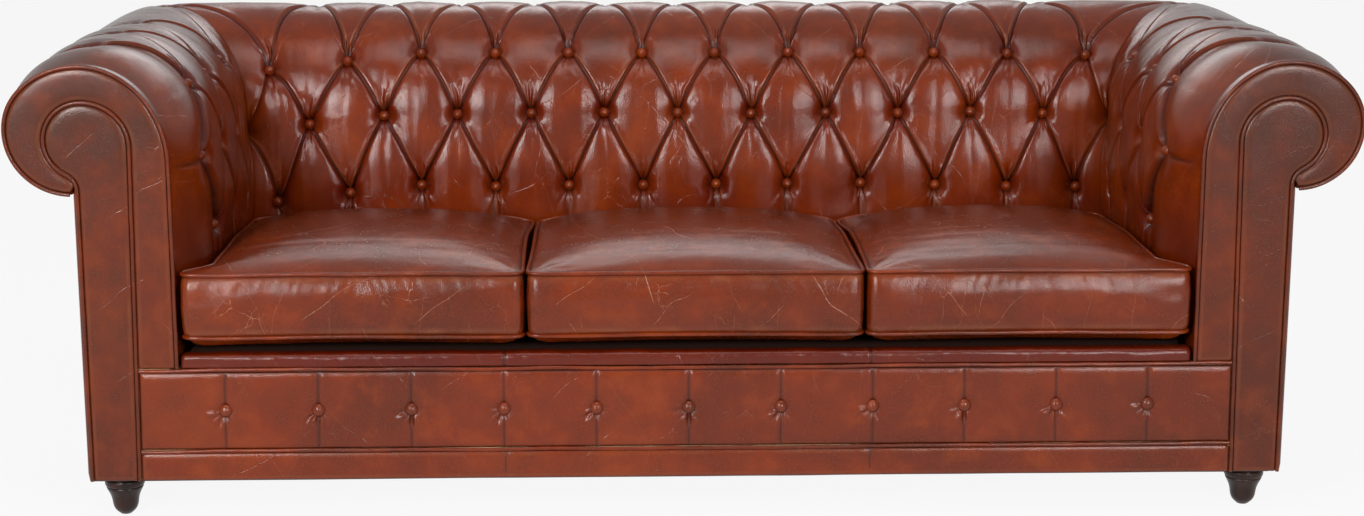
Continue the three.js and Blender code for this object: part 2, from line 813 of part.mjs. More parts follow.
function backFrame() {
  const middleX = uprightSpacing / 2;
  const x0 = middleX - uprightThickness / 2;
  const x1 = middleX + uprightThickness / 2;
  const foot = railTop + webThickness + 2 * clearance;
  const post = block(x0, x1, frameRear - railThickness, frameRear, foot, crestHeight);
  addPair("back_upright", underFormers(post, false), beech);

  const railBottom = deckTop + tackRailRise;
  const railUp = railBottom + tackRailHeight;
  const front = backDepthAt(padWrap, railUp) + clearance;
  const rear = front + tackRailThickness;
  const rail = block(-frameSide, frameSide, front, rear, railBottom, railUp);
  addMesh("back_tack_rail", rail, beech);
  const armFront = boardRear + clearance;
  const armEnd = front - clearance;
  const x = boardEdge;
  addPair("arm_tack_rail", block(x, x + tackRailThickness, armFront, armEnd, railBottom, railUp), beech);
}

// Seat platform

function seatPlatform() {
  const webBottom = railTop + clearance;
  const webTop = webBottom + webThickness;
  const webFront = boardFront;
  const webRear = frameRear;
  const reach = boardEdge - clearance - webStrapWidth / 2;
  let web = null;
  for (const x of steps(-reach, reach, webStraps - 1)) {
    const half = webStrapWidth / 2;
    const strap = solidOf(block(x - half, x + half, webFront, webRear, webBottom, webTop));
    web = web ? web.add(strap) : strap;
  }
  const crossRows = steps(webFront, webRear, webCrossStraps + 1).slice(1, -1);
  for (const y of crossRows) {
    const half = webStrapWidth / 2;
    web = web.add(solidOf(block(-frameSide, frameSide, y - half, y + half, webBottom, webTop)));
  }
  addMesh("seat_webbing", geometryOf(web), jute);

  const deckX = innerFace - deckInset;
  const deckFront = lipDepth + clearance;
  const deckRear = backFace - deckInset;
  const deckBottom = webTop + clearance;
  const deckSection = [
    [-deckX, deckBottom],
    [deckX, deckBottom],
    [deckX, deckTop - deckChamfer],
    [deckX - deckChamfer, deckTop],
    [-deckX + deckChamfer, deckTop],
    [-deckX, deckTop - deckChamfer],
  ];
  const deck = upright(deckSection, deckFront, deckRear).translate(-innerFace, 0, 0);
  addMesh("seat_deck", deck, cloth);

  const lipBottom = borderTop + weltRadius + clearance;
  const lipX = innerFace - lipSideGap;
  const section = [
    [frontPuff, lipBottom],
    [lipDepth, lipBottom],
    [lipDepth, lipTop - lipRound],
    ...arc(lipDepth - lipRound, lipTop - lipRound, lipRound, lipRound, 0, 90, 3),
    ...arc(frontPuff + lipRound, lipTop - lipRound, lipRound, lipRound, 90, 180, 4),
  ];
  const lipEnd = (side) => (depth, up) => new THREE.Vector3(side * lipX, depth, up);
  addMesh("front_lip", run(section, lipEnd(-1), lipEnd(1)), leather);

  const margin = outsideThickness;
  const sheet = new THREE.Shape();
  sheet.moveTo(-outsideFace + margin, margin);
  sheet.lineTo(outsideFace - margin, margin);
  sheet.lineTo(outsideFace - margin, rearFace - margin);
  sheet.lineTo(-outsideFace + margin, rearFace - margin);
  for (const { x, y } of footPlaces()) {
    const hole = new THREE.Path();
    hole.absarc(x, y, footTopRadius + dustCoverHoleGap, 0, 2 * Math.PI, true);
    sheet.holes.push(hole);
  }
  const cover = new THREE.ExtrudeGeometry(sheet, {
    depth: dustCoverThickness,
    bevelEnabled: false,
    curveSegments: 7,
  });
  addMesh("dust_cover", cover.translate(0, 0, footHeight - clearance - dustCoverThickness), cloth);
}

// Front border, base band and welts

function borderHalfWidth(up) {
  const flare = (seamFlare * (facingShoulder - up)) / (facingShoulder - footHeight);
  return innerFace + seamOut + flare - weltDiameter - 2 * clearance;
}

// Depth of the border's face: a puffed panel with a seam and a dimple at each button.
function borderFace(x, share) {
  const outermost = (borderButtons - 1) / 2;
  const index = THREE.MathUtils.clamp(Math.round(x / borderButtonPitch), -outermost, outermost);
  const fromSeam = Math.abs(x - index * borderButtonPitch);
  const seam = borderSeamDepth * (1 - fade(fromSeam, 0, borderSeamWidth));
  const rise = Math.abs(share - 0.5) * borderHeight;
  const dimple = borderDimpleDepth * (1 - fade(Math.hypot(fromSeam, rise), 0, borderSeamWidth * 2));
  const edge = frontPuff * (1 - fade(Math.min(share, 1 - share), 0, borderRowShares[1]));
  return edge + Math.max(seam, dimple);
}

function frontBorder() {
  const bottom = baseBandTop + weltChannel;
  const top = borderTop - weltChannel;
  const outermost = (borderButtons - 1) / 2;
  const indices = steps(-outermost, outermost, borderButtons - 1);
  const seams = indices.map((index) => index * borderButtonPitch);
  const between = borderButtonPitch / 2;
  const stations = seams.flatMap((x) => [x - between, x - borderNearSeam, x, x + borderNearSeam]);
  stations.push(seams.at(-1) + between);
  const points = [];
  const addRow = (up, depthAt) => {
    const side = borderHalfWidth(up);
    return [-side, ...stations, side].map((x) => points.push(new THREE.Vector3(x, depthAt(x), up)) - 1);
  };
  const rows = [
    addRow(bottom, () => skinThickness),
    ...borderRowShares.map((share) => addRow(mix(bottom, top, share), (x) => borderFace(x, share))),
    addRow(top, () => skinThickness),
  ];
  const triangles = [];
  rows.forEach((row, j) => {
    const above = rows[(j + 1) % rows.length];
    for (let i = 0; i < row.length - 1; i++) {
      triangles.push([row[i], row[i + 1], above[i + 1]], [row[i], above[i + 1], above[i]]);
    }
  });
  for (let j = 1; j < rows.length - 1; j++) {
    triangles.push([rows[0][0], rows[j][0], rows[j + 1][0]]);
    triangles.push([rows[0].at(-1), rows[j + 1].at(-1), rows[j].at(-1)]);
  }
  let solid = solidOf(shellGeometry(points, triangles));
  const forwards = new THREE.Vector3(0, -1, 0);
  for (const x of seams) {
    const at = new THREE.Vector3(x, borderFace(x, 0.5), mix(bottom, top, 0.5));
    solid = solid.add(buttonSolid(at, forwards, borderButtonProud, borderButtonSunk));
  }
  addMesh("front_border_panel", geometryOf(solid), leather);

  const low = (side) => [side * borderHalfWidth(footHeight), footHeight];
  const bandTop = baseBandTop - weltChannel;
  const high = (side) => [side * borderHalfWidth(bandTop), bandTop];
  const bandOutline = [low(-1), low(1), high(1), high(-1)];
  const band = upright(bandOutline, frontPuff, skinThickness).translate(-innerFace, 0, 0);
  addMesh("front_base_band", band, leather);

  for (const [name, up] of [["front_piping_upper", borderTop], ["front_piping_lower", baseBandTop]]) {
    const x = borderHalfWidth(up);
    const line = [[-x - innerFace, up], [x - innerFace, up]];
    addMesh(name, swept(line, weltSection(1)), darkLeather);
  }
}

// Outside panels

function outsidePanels() {
  const top = rollCentre - rollRadius + padWrap - 2 * clearance;
  const x0 = outsideFace - outsideThickness;
  const side = block(x0, outsideFace, boardFront, rearFace, footHeight, top);
  addPair("arm_outside_panel", side, leather);
  const x = x0 - clearance;
  const rear = block(-x, x, rearFace - outsideThickness, rearFace, footHeight, top);
  addMesh("back_outside_panel", rear, leather);
}

// Feet

function footPlaces() {
  const x = outsideFace - footSideInset;
  const rearY = rearFace - footRearInset;
  return [
    { end: "front", side: 1, x, y: footFrontInset },
    { end: "front", side: -1, x: -x, y: footFrontInset },
    { end: "rear", side: 1, x, y: rearY },
    { end: "rear", side: -1, x: -x, y: rearY },
  ];
}

function footSolid() {
  const line = footRadiusShares.map((share, i) => {
    return [footTopRadius * share, footHeight * footRiseShares[i]];
  });
  const profile = [[0, 0], ...line, [0, footHeight]].map(([r, z]) => new THREE.Vector2(r, z));
  const turned = new THREE.LatheGeometry(profile, footSides);
  turned.rotateX(Math.PI / 2);
  const boreLength = boltInFoot + cutOverrun;
  const bore = new THREE.CylinderGeometry(boltRadius + clearance, boltRadius + clearance, boreLength, 8);
  bore.rotateX(Math.PI / 2).translate(0, 0, footHeight - boltInFoot + boreLength / 2);
  return solidOf(turned).subtract(solidOf(bore));
}

function feet() {
  const foot = geometryOf(footSolid());
  const boltBottom = footHeight - boltInFoot + clearance;
  const boltLength = boltInFoot + boltInBlock;
  const bolt = new THREE.CylinderGeometry(boltRadius, boltRadius, boltLength, 8);
  bolt.rotateX(Math.PI / 2).translate(0, 0, boltBottom + boltLength / 2);
  for (const { end, side, x, y } of footPlaces()) {
    const label = end + (side > 0 ? "_right" : "_left");
    addMesh("foot_" + label, foot.clone().translate(x, y, 0), darkWood);
    addMesh("foot_bolt_" + label, bolt.clone().translate(x, y, 0), steel);
  }
  for (const end of ["front", "rear"]) {
    const { x, y } = footPlaces().find((place) => place.end === end);
    const outerX = frameSide - railThickness - clearance;
    const nearY = boardRear + clearance;
    const farY = frameRear - postSize - clearance;
    const [y0, y1] = end === "front" ? [nearY, nearY + blockLength] : [farY - blockLength, farY];
    const timber = block(outerX - blockWidth, outerX, y0, y1, frameBottom, frameBottom + blockHeight);
    const bore = new THREE.CylinderGeometry(
      boltRadius + clearance,
      boltRadius + clearance,
      blockHeight + 2 * cutOverrun,
      8,
    );
    bore.rotateX(Math.PI / 2).translate(x, y, frameBottom + blockHeight / 2);
    addPair("corner_block_" + end, geometryOf(solidOf(timber).subtract(solidOf(bore))), beech);
  }
}

// Loose cushions

// Width and middle of each cushion, and the side on which an arm squeezes it.
function cushionSpans() {
  const seat = innerFace - cushionSideGap;
  const seams = cushionSeamShares.map((share) => mix(-seat, seat, share));
  const last = cushionNames.length - 1;
  return cushionNames.map((name, i) => {
    const from = seams[i] + (i > 0 ? cushionGap / 2 : 0);
    const to = seams[i + 1] - (i < last ? cushionGap / 2 : 0);
    const squeezeSide = i === 0 ? -1 : i === last ? 1 : 0;
    return { name, middle: (from + to) / 2, width: to - from, squeezeSide };
  });
}

// Plan of a cushion as a ring of points: rounded corners, and sides that draw in between them.
function cushionPlan(span, inset, plain = false) {
  const halfWidth = span.width / 2 - inset;
  const halfDepth = cushionDepth / 2 - inset;
  const radius = cushionCorner - inset / 2;
  const forwards = cushionSideShares.map((share) => 1 - share).reverse();
  const between = [cushionSideShares, cushionEdgeShares, forwards, cushionEdgeShares];
  const corners = [
    [1, -1, -90, 0],
    [1, 1, 0, 90],
    [-1, 1, 90, 180],
    [-1, -1, 180, 270],
  ].map(([sx, sy, from, to]) => {
    const centre = [sx * (halfWidth - radius), sy * (halfDepth - radius)];
    return arc(...centre, radius, radius, from, to, 2);
  });
  const ring = corners.flatMap((corner, i) => {
    const [x0, y0] = corner.at(-1);
    const [x1, y1] = corners[(i + 1) % corners.length][0];
    const side = plain ? [] : between[i];
    return [...corner, ...side.map((share) => drawnIn(x0, y0, x1, y1, share))];
  });
  return ring.map(([x, y]) => squeezed(span, x, y, halfWidth, halfDepth));
}

// A point on a straight side of the plan, drawn in towards the middle of the cushion.
function drawnIn(x0, y0, x1, y1, share) {
  const length = Math.hypot(x1 - x0, y1 - y0);
  const draw = (cushionDrawIn * Math.sin(Math.PI * share)) / length;
  return [mix(x0, x1, share) - (y1 - y0) * draw, mix(y0, y1, share) + (x1 - x0) * draw];
}

// Beside an arm, the cushion is squeezed in behind its front corner by the arm's pad.
function squeezed(span, x, y, halfWidth, halfDepth) {
  if (!span.squeezeSide || x * span.squeezeSide < 0) return [x, y];
  const behindCorner = y + halfDepth - cushionCorner;
  const pressed = fade(behindCorner, 0, cushionSqueezeLength) * cushionSqueeze;
  return [x - span.squeezeSide * pressed * (Math.abs(x) / halfWidth), y];
}

// The top of a cushion sinks towards its rear, and most at the rear corners.
function sunk(span, x, y, up) {
  const lowEdge = deckTop + clearance + cushionBelly;
  const risen = THREE.MathUtils.clamp((up - lowEdge) / cushionEdge, 0, 1);
  const rearwards = fade(y / (cushionDepth / 2), 0, 1);
  const sideways = Math.abs((2 * x) / span.width) ** cushionSagPower;
  return up - risen * rearwards * (cushionRearSag + cushionCornerSag * sideways);
}

// Stacks rings of one plan into a closed form: each ring has a share of the plan, and a height.
function stacked(span, plan, rings) {
  const middleY = cushionFrontGap + cushionDepth / 2;
  const count = plan.length;
  const points = rings.flatMap(({ share, grow = 0, up }) =>
    plan.map(([x, y]) => {
      const reach = Math.hypot(x, y);
      const scale = share + grow / reach;
      const level = sunk(span, x * scale, y * scale, up);
      return new THREE.Vector3(span.middle + x * scale, middleY + y * scale, level);
    }),
  );
  const triangles = [];
  for (let ring = 0; ring < rings.length - 1; ring++) {
    for (let i = 0; i < count; i++) {
      const next = (i + 1) % count;
      const [a, b] = [ring * count + i, ring * count + next];
      const [c, d] = [(ring + 1) * count + next, (ring + 1) * count + i];
      triangles.push([a, b, c], [a, c, d]);
    }
  }
  const low = points.push(new THREE.Vector3(span.middle, middleY, rings[0].cap)) - 1;
  const high = points.push(new THREE.Vector3(span.middle, middleY, rings.at(-1).cap)) - 1;
  const last = (rings.length - 1) * count;
  for (let i = 0; i < count; i++) {
    const next = (i + 1) % count;
    triangles.push([low, next, i], [high, last + i, last + next]);
  }
  return shellGeometry(points, triangles);
}

function cushionCoverRings(bottom) {
  const lowEdge = bottom + cushionBelly;
  const topEdge = lowEdge + cushionEdge;
  const crown = (share) => topEdge + cushionCrown * (1 - share ** cushionCrownPower);
  const half = cushionWeltHeight / 2;
  const [underRim, underFlat] = cushionUnderShares;
  const fullBelly = 1 - cushionUnderFlatShare;
  const drop = Math.min(1, (1 - underRim ** cushionBellyPower) / fullBelly);
  const top = cushionTopShares.map((share) => ({ share, up: crown(share), cap: crown(0) }));
  return [
    { share: underFlat, up: bottom, cap: bottom },
    { share: underRim, up: lowEdge - cushionBelly * drop },
    { share: 1, up: lowEdge - half },
    { share: 1, grow: cushionWeltProud, up: lowEdge },
    { share: 1, up: lowEdge + half },
    { share: 1, grow: cushionBulge, up: mix(lowEdge, topEdge, 0.5) },
    { share: 1, up: topEdge - half },
    { share: 1, grow: cushionWeltProud, up: topEdge },
    { share: 1, up: topEdge + half / 2 },
    ...top,
  ];
}

function cushionCoreRings(bottom, slack) {
  const lowEdge = bottom + cushionBelly;
  const topEdge = lowEdge + cushionEdge;
  const drop = cushionWall - slack;
  const crown = (share) => topEdge + cushionCrown * (1 - share ** cushionCrownPower) - drop;
  const [rim, middle] = coreTopShares;
  return [
    { share: coreUnderShare, up: bottom + drop, cap: bottom + drop },
    { share: 1, up: lowEdge + drop },
    { share: 1, up: topEdge - drop },
    { share: rim, up: crown(rim) - drop / 3 },
    { share: middle, up: crown(middle), cap: crown(0) - drop / 3 },
  ];
}

function cushions() {
  const bottom = deckTop + clearance;
  const rear = cushionFrontGap + cushionDepth;
  const zipUp = bottom + cushionBelly + cushionEdge / 2;
  for (const span of cushionSpans()) {
    const squeeze = 2 * cushionSqueeze * Math.abs(span.squeezeSide);
    const narrow = { ...span, width: span.width - squeeze - 2 * cushionDrawIn, squeezeSide: 0 };
    const plan = cushionPlan(span, 0);
    const outer = solidOf(stacked(span, plan, cushionCoverRings(bottom)));
    const corePlan = cushionPlan(narrow, cushionWall, true);
    const hollowPlan = cushionPlan(narrow, cushionWall - clearance, true);
    const hollow = solidOf(stacked(narrow, hollowPlan, cushionCoreRings(bottom, clearance)));
    const core = stacked(narrow, corePlan, cushionCoreRings(bottom, 0));
    const zipHalf = (narrow.width * zipLengthShare) / 2;
    const slotFront = rear - cushionDepth / 4;
    const slot = solidOf(
      block(
        span.middle - zipHalf,
        span.middle + zipHalf,
        slotFront,
        rear + cutOverrun + cushionBulge,
        zipUp - zipHeight / 2,
        zipUp + zipHeight / 2,
      ),
    );
    addMesh("cushion_cover_" + span.name, geometryOf(outer.subtract(hollow).subtract(slot)), leather);
    addMesh("cushion_core_" + span.name, core, foam);
    const half = zipHalf - clearance;
    const zipRear = rear - cushionDrawIn;
    const tape = block(
      span.middle - half,
      span.middle + half,
      zipRear - zipThickness,
      zipRear,
      zipUp - zipHeight / 2 + clearance,
      zipUp + zipHeight / 2 - clearance,
    );
    const slider = block(
      span.middle + half - 2 * zipSliderLength,
      span.middle + half - zipSliderLength,
      zipRear - zipThickness,
      zipRear + zipThickness,
      zipUp - zipHeight / 4,
      zipUp + zipHeight / 4,
    );
    addMesh("cushion_zip_" + span.name, geometryOf(solidOf(tape).add(solidOf(slider))), brass);
  }
}

armBoards();
rollFormers();
seatFrame();
backFrame();
seatPlatform();
feet();
backPad();
armPads();
armFacings();
frontBorder();
outsidePanels();
cushions();

export default sofa;
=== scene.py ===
# A three-seat chesterfield in waxed, deep-buttoned leather, dressed over its measured frame.
# Lengths are metres: X along the sofa, Y from front to back, Z up from the floor.
import math

import bmesh
import bpy
import numpy as np
from mathutils import Matrix, Vector
from mathutils.geometry import delaunay_2d_cdt


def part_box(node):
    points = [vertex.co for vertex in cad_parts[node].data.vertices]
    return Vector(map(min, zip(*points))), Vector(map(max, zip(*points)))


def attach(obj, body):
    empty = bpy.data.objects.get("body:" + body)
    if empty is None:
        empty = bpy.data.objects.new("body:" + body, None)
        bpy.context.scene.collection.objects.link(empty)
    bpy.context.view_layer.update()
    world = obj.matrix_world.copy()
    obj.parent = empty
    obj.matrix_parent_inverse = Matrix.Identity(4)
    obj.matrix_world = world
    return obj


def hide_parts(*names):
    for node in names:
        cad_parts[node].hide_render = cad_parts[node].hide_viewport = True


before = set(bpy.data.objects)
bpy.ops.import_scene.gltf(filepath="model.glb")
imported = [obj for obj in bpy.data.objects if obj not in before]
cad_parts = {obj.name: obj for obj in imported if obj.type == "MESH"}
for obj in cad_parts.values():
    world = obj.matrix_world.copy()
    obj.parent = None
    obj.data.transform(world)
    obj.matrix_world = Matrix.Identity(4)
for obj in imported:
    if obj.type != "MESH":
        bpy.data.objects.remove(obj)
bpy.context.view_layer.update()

scene = bpy.context.scene
frameBody = "sofa_frame"
sides = {"right": 1, "left": -1}
gap = 0.0003  # kept between neighbours
print("frame loaded:", len(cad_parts), "nodes")


# Small helpers

def smoothStep(value, low, high):
    share = np.clip((value - low) / (high - low), 0, 1)
    return share * share * (3 - 2 * share)


def mix(a, b, share):
    return a + (b - a) * share


def hashed(i, j, k, seed):
    # one repeatable number from -1 to 1 for each whole-numbered place
    n = (i * 73856093 ^ j * 19349663 ^ k * 83492791 ^ seed * 2654435761) & 0x7FFFFFFF
    n = (n ^ (n >> 13)) * 1274126177 & 0x7FFFFFFF
    n = (n ^ (n >> 16)) * 668265263 & 0x7FFFFFFF
    return (n >> 7 & 0xFFFF) / 32767.5 - 1


def softNoise(x, y, z=0.0, seed=1):
    x, y, z = np.broadcast_arrays(np.asarray(x, float), y, z)
    cell = [np.floor(a).astype(np.int64) for a in (x, y, z)]
    part = [a - c for a, c in zip((x, y, z), cell)]
    part = [p * p * p * (p * (6 * p - 15) + 10) for p in part]
    total = np.zeros(x.shape)
    for di in (0, 1):
        for dj in (0, 1):
            for dk in (0, 1):
                weight = 1
                for d, p in zip((di, dj, dk), part):
                    weight = weight * (p if d else 1 - p)
                total += weight * hashed(cell[0] + di, cell[1] + dj, cell[2] + dk, seed)
    return total


def makeMesh(name, points, faces):
    mesh = bpy.data.meshes.new(name)
    mesh.from_pydata(np.asarray(points).tolist(), [], [list(f) for f in faces])
    mesh.update()
    return mesh


def makeObject(name, mesh, material=None):
    obj = bpy.data.objects.new(name, mesh)
    scene.collection.objects.link(obj)
    if material:
        mesh.materials.clear()
        mesh.materials.append(material)
    for polygon in mesh.polygons:
        polygon.use_smooth = True
    return obj


def faceOutwards(obj):
    shape = bmesh.new()
    shape.from_mesh(obj.data)
    bmesh.ops.recalc_face_normals(shape, faces=shape.faces)
    shape.to_mesh(obj.data)
    shape.free()


def setAttribute(mesh, name, values):
    values = np.asarray(values, np.float32)
    several = values.size == 3 * len(mesh.vertices)
    layer = mesh.attributes.new(name, "FLOAT_VECTOR" if several else "FLOAT", "POINT")
    layer.data.foreach_set("vector" if several else "value", values.ravel())


def dress(obj, body, slot, *nodes):
    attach(obj, body)
    if nodes:
        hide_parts(*nodes)
    return obj


def applyModifiers(obj):
    # turns the evaluated shape into the object's own plain mesh
    bpy.context.view_layer.update()
    evaluated = obj.evaluated_get(bpy.context.evaluated_depsgraph_get())
    mesh = bpy.data.meshes.new_from_object(evaluated)
    obj.modifiers.clear()
    obj.data = mesh
    return obj


# Camera and studio

camera = {
    "place": (-0.122, -4.260, 1.258),
    "turn": -0.0290,  # to the left, in radians
    "tilt": 0.2107,  # downwards
    "sensor": 36.0,
    "focalPixels": 2387.0,
    "framePixels": 1364.0,
}

studio = {
    "wallColour": (1.0, 1.0, 1.0),
    "walls": (0.40, 0.66),  # the studio is greyer in front of the sofa than behind it
    "wallTurn": (-0.55, 0.20),
    "ambient": 0.12,
    "floorColour": (0.58, 0.58, 0.575),
    "floorReach": 14.0,
    "floorWhiteShare": 0.91,
    "floorAhead": 0.84,  # the floor is a little greyer too, well in front of the sofa
    "floorTurn": (-4.5, -0.9),
    "lamps": {
        "front_softbox_left": {"at": (-2.1, -3.8, 1.95), "aim": (0.1, 0.2, 0.5), "size": (0.62, 2.3), "power": 138},
        "front_softbox_right": {"at": (1.9, -4.1, 1.85), "aim": (0.1, 0.2, 0.5), "size": (0.52, 2.1), "power": 92},
        "overhead_softbox": {"at": (0.0, -1.1, 3.3), "aim": (0.0, 0.1, 0.4), "size": (3.2, 1.0), "power": 27},
        "back_softbox": {"at": (0.0, 3.4, 2.6), "aim": (0.0, 0.2, 0.5), "size": (3.0, 1.2), "power": 26},
    },
}


def makeCamera():
    lens = bpy.data.cameras.new("camera")
    lens.sensor_width = camera["sensor"]
    lens.lens = camera["sensor"] * camera["focalPixels"] / camera["framePixels"]
    lens.clip_end = 60
    obj = bpy.data.objects.new("camera", lens)
    turn, tilt = camera["turn"], camera["tilt"]
    forward = Vector((-math.sin(turn) * math.cos(tilt), math.cos(turn) * math.cos(tilt), -math.sin(tilt)))
    right = Vector((math.cos(turn), math.sin(turn), 0))
    up = right.cross(forward)
    facing = Matrix((right, up, -forward)).transposed().to_4x4()
    obj.matrix_world = Matrix.Translation(camera["place"]) @ facing
    scene.collection.objects.link(obj)
    scene.camera = obj


def makeLamps():
    for name, values in studio["lamps"].items():
        light = bpy.data.lights.new(name, "AREA")
        light.shape = "ELLIPSE"
        light.size, light.size_y = values["size"]
        light.energy = values["power"]
        obj = bpy.data.objects.new(name, light)
        obj.location = values["at"]
        aim = Vector(values["aim"]) - Vector(values["at"])
        obj.rotation_euler = aim.to_track_quat("-Z", "Y").to_euler()
        scene.collection.objects.link(obj)


def addNode(tree, kind, inputs=None, **settings):
    node = tree.nodes.new(kind)
    for name, value in settings.items():
        setattr(node, name, value)
    for socket, value in (inputs or {}).items():
        if isinstance(value, bpy.types.NodeSocket):
            tree.links.new(value, node.inputs[socket])
        else:
            node.inputs[socket].default_value = value
    return node


def math2(tree, operation, a, b=0.0, clamp=False):
    return addNode(tree, "ShaderNodeMath", {0: a, 1: b}, operation=operation, use_clamp=clamp).outputs[0]


def remap(tree, value, low, high, toLow=0.0, toHigh=1.0):
    inputs = {"Value": value, "From Min": low, "From Max": high, "To Min": toLow, "To Max": toHigh}
    return addNode(tree, "ShaderNodeMapRange", inputs, clamp=True).outputs[0]


def seenDirectly(tree):
    # 1 where the camera, or a mirror or glass, sees the studio itself
    path = addNode(tree, "ShaderNodeLightPath").outputs
    first = math2(tree, "MAXIMUM", path["Is Camera Ray"], path["Is Transmission Ray"])
    return math2(tree, "MAXIMUM", first, path["Is Glossy Ray"])


def makeWorld():
    world = bpy.data.worlds.new("white_studio")
    scene.world = world
    world.use_nodes = True
    tree = world.node_tree
    tree.nodes.clear()
    way = addNode(tree, "ShaderNodeTexCoord").outputs["Generated"]
    backwards = addNode(tree, "ShaderNodeSeparateXYZ", {0: way}).outputs["Y"]
    wall = remap(tree, backwards, *studio["wallTurn"], *studio["walls"])
    seen = addNode(tree, "ShaderNodeMapRange", {"Value": seenDirectly(tree), "To Min": studio["ambient"], "To Max": wall})
    background = tree.nodes.new("ShaderNodeBackground")
    background.inputs["Color"].default_value = (*studio["wallColour"], 1)
    tree.links.new(seen.outputs[0], background.inputs["Strength"])
    output = tree.nodes.new("ShaderNodeOutputWorld")
    tree.links.new(background.outputs[0], output.inputs[0])


def makeFloor():
    material = bpy.data.materials.new("pale_floor")
    material.use_nodes = True
    tree = material.node_tree
    tree.nodes.clear()
    place = addNode(tree, "ShaderNodeTexCoord").outputs["Object"]
    depth = addNode(tree, "ShaderNodeSeparateXYZ", {0: place}).outputs["Y"]
    shade = remap(tree, depth, *studio["floorTurn"], studio["floorAhead"], 1.0)
    share = math2(tree, "MULTIPLY", seenDirectly(tree), studio["floorWhiteShare"])
    matte = tree.nodes.new("ShaderNodeBsdfDiffuse")
    matte.inputs["Color"].default_value = (*studio["floorColour"], 1)
    bright = addNode(tree, "ShaderNodeEmission", {"Strength": shade})
    blend = tree.nodes.new("ShaderNodeMixShader")
    tree.links.new(share, blend.inputs[0])
    tree.links.new(matte.outputs[0], blend.inputs[1])
    tree.links.new(bright.outputs[0], blend.inputs[2])
    output = tree.nodes.new("ShaderNodeOutputMaterial")
    tree.links.new(blend.outputs[0], output.inputs["Surface"])
    reach = studio["floorReach"]
    corners = [(-reach, -reach, 0), (reach, -reach, 0), (reach, reach, 0), (-reach, reach, 0)]
    floor = makeObject("studio_floor", makeMesh("studio_floor", corners, [(0, 1, 2, 3)]), material)


makeCamera()
makeLamps()
makeWorld()
makeFloor()
scene.view_settings.view_transform = "Standard"
print("camera and studio ready")


# Materials

def newMaterial(name):
    material = bpy.data.materials.new(name)
    material.use_nodes = True
    tree = material.node_tree
    tree.nodes.clear()
    surface = addNode(tree, "ShaderNodeBsdfPrincipled")
    addNode(tree, "ShaderNodeOutputMaterial", {"Surface": surface.outputs[0]})
    place = addNode(tree, "ShaderNodeTexCoord").outputs["Object"]
    return material, tree, surface, place


def noise(tree, place, scale, detail=3.0, rough=0.5, stretch=None, distortion=0.0):
    if stretch:
        place = addNode(tree, "ShaderNodeMapping", {"Vector": place, "Scale": stretch}).outputs[0]
    inputs = {"Vector": place, "Scale": scale, "Detail": detail, "Roughness": rough, "Distortion": distortion}
    return addNode(tree, "ShaderNodeTexNoise", inputs).outputs["Fac"]


def blendColour(tree, share, a, b, kind="MIX"):
    node = addNode(tree, "ShaderNodeMix", data_type="RGBA", blend_type=kind)
    for index, value in ((0, share), (6, a), (7, b)):
        if isinstance(value, bpy.types.NodeSocket):
            tree.links.new(value, node.inputs[index])
        else:
            node.inputs[index].default_value = (*value, 1) if isinstance(value, tuple) else value
    return node.outputs[2]


def bump(tree, height, depth, strength=1.0, under=None):
    inputs = {"Height": height, "Distance": depth, "Strength": strength}
    if under:
        inputs["Normal"] = under
    return addNode(tree, "ShaderNodeBump", inputs).outputs[0]


leather = {
    "mid": (0.170, 0.0188, 0.0010),
    "dark": (0.078, 0.0110, 0.0018),
    "bright": (0.255, 0.041, 0.0025),
    # rubbed edges: partly real wear, partly a painted highlight
    "wear_and_highlight": (0.32, 0.095, 0.030),
    # painted shade, near black, for folds, seams and button dimples
    "painted_crease_shade": (0.010, 0.0008, 0.0003),
    # painted shade beside pleats and buttons and in low, shaded places
    "hollow": (0.076, 0.0024, 0.0002),
    # a darker tone, partly the leather's own and partly painted shade where less light falls
    "patina_and_shade": (0.052, 0.0115, 0.0040),
    "scuff": (0.47, 0.20, 0.10),
    "patchScale": 3.2,
    "mottleScale": 17.0,
    "grainScale": 620.0,
    "grainDepth": 0.00016,
    "wrinkleScale": 95.0,
    "wrinkleDepth": 0.00014,
    "roughness": (0.18, 0.30),
    "specular": 0.37,
}


def foldsAtKnots(tree):
    # folds that fan out from each button, as far as the attribute "folds" lets them
    knot = addNode(tree, "ShaderNodeAttribute", attribute_name="knot").outputs["Vector"]
    strength = addNode(tree, "ShaderNodeAttribute", attribute_name="folds").outputs["Fac"]
    apart = addNode(tree, "ShaderNodeSeparateXYZ", {0: knot}).outputs
    turn = math2(tree, "ARCTAN2", apart["X"], math2(tree, "ABSOLUTE", apart["Y"]))
    wander = addNode(tree, "ShaderNodeTexNoise", {"Vector": knot, "Scale": 30.0, "Detail": 2.0})
    bent = math2(tree, "ADD", turn, math2(tree, "MULTIPLY", wander.outputs["Fac"], 0.5))
    coarse = math2(tree, "SINE", math2(tree, "ADD", math2(tree, "MULTIPLY", bent, 13.0), apart["Z"]))
    steps = math2(tree, "ADD", math2(tree, "MULTIPLY", bent, 24.0), math2(tree, "MULTIPLY", apart["Z"], 2.3))
    fine = math2(tree, "MULTIPLY", math2(tree, "SINE", steps), 0.6)
    return math2(tree, "MULTIPLY", math2(tree, "ADD", coarse, fine), strength)


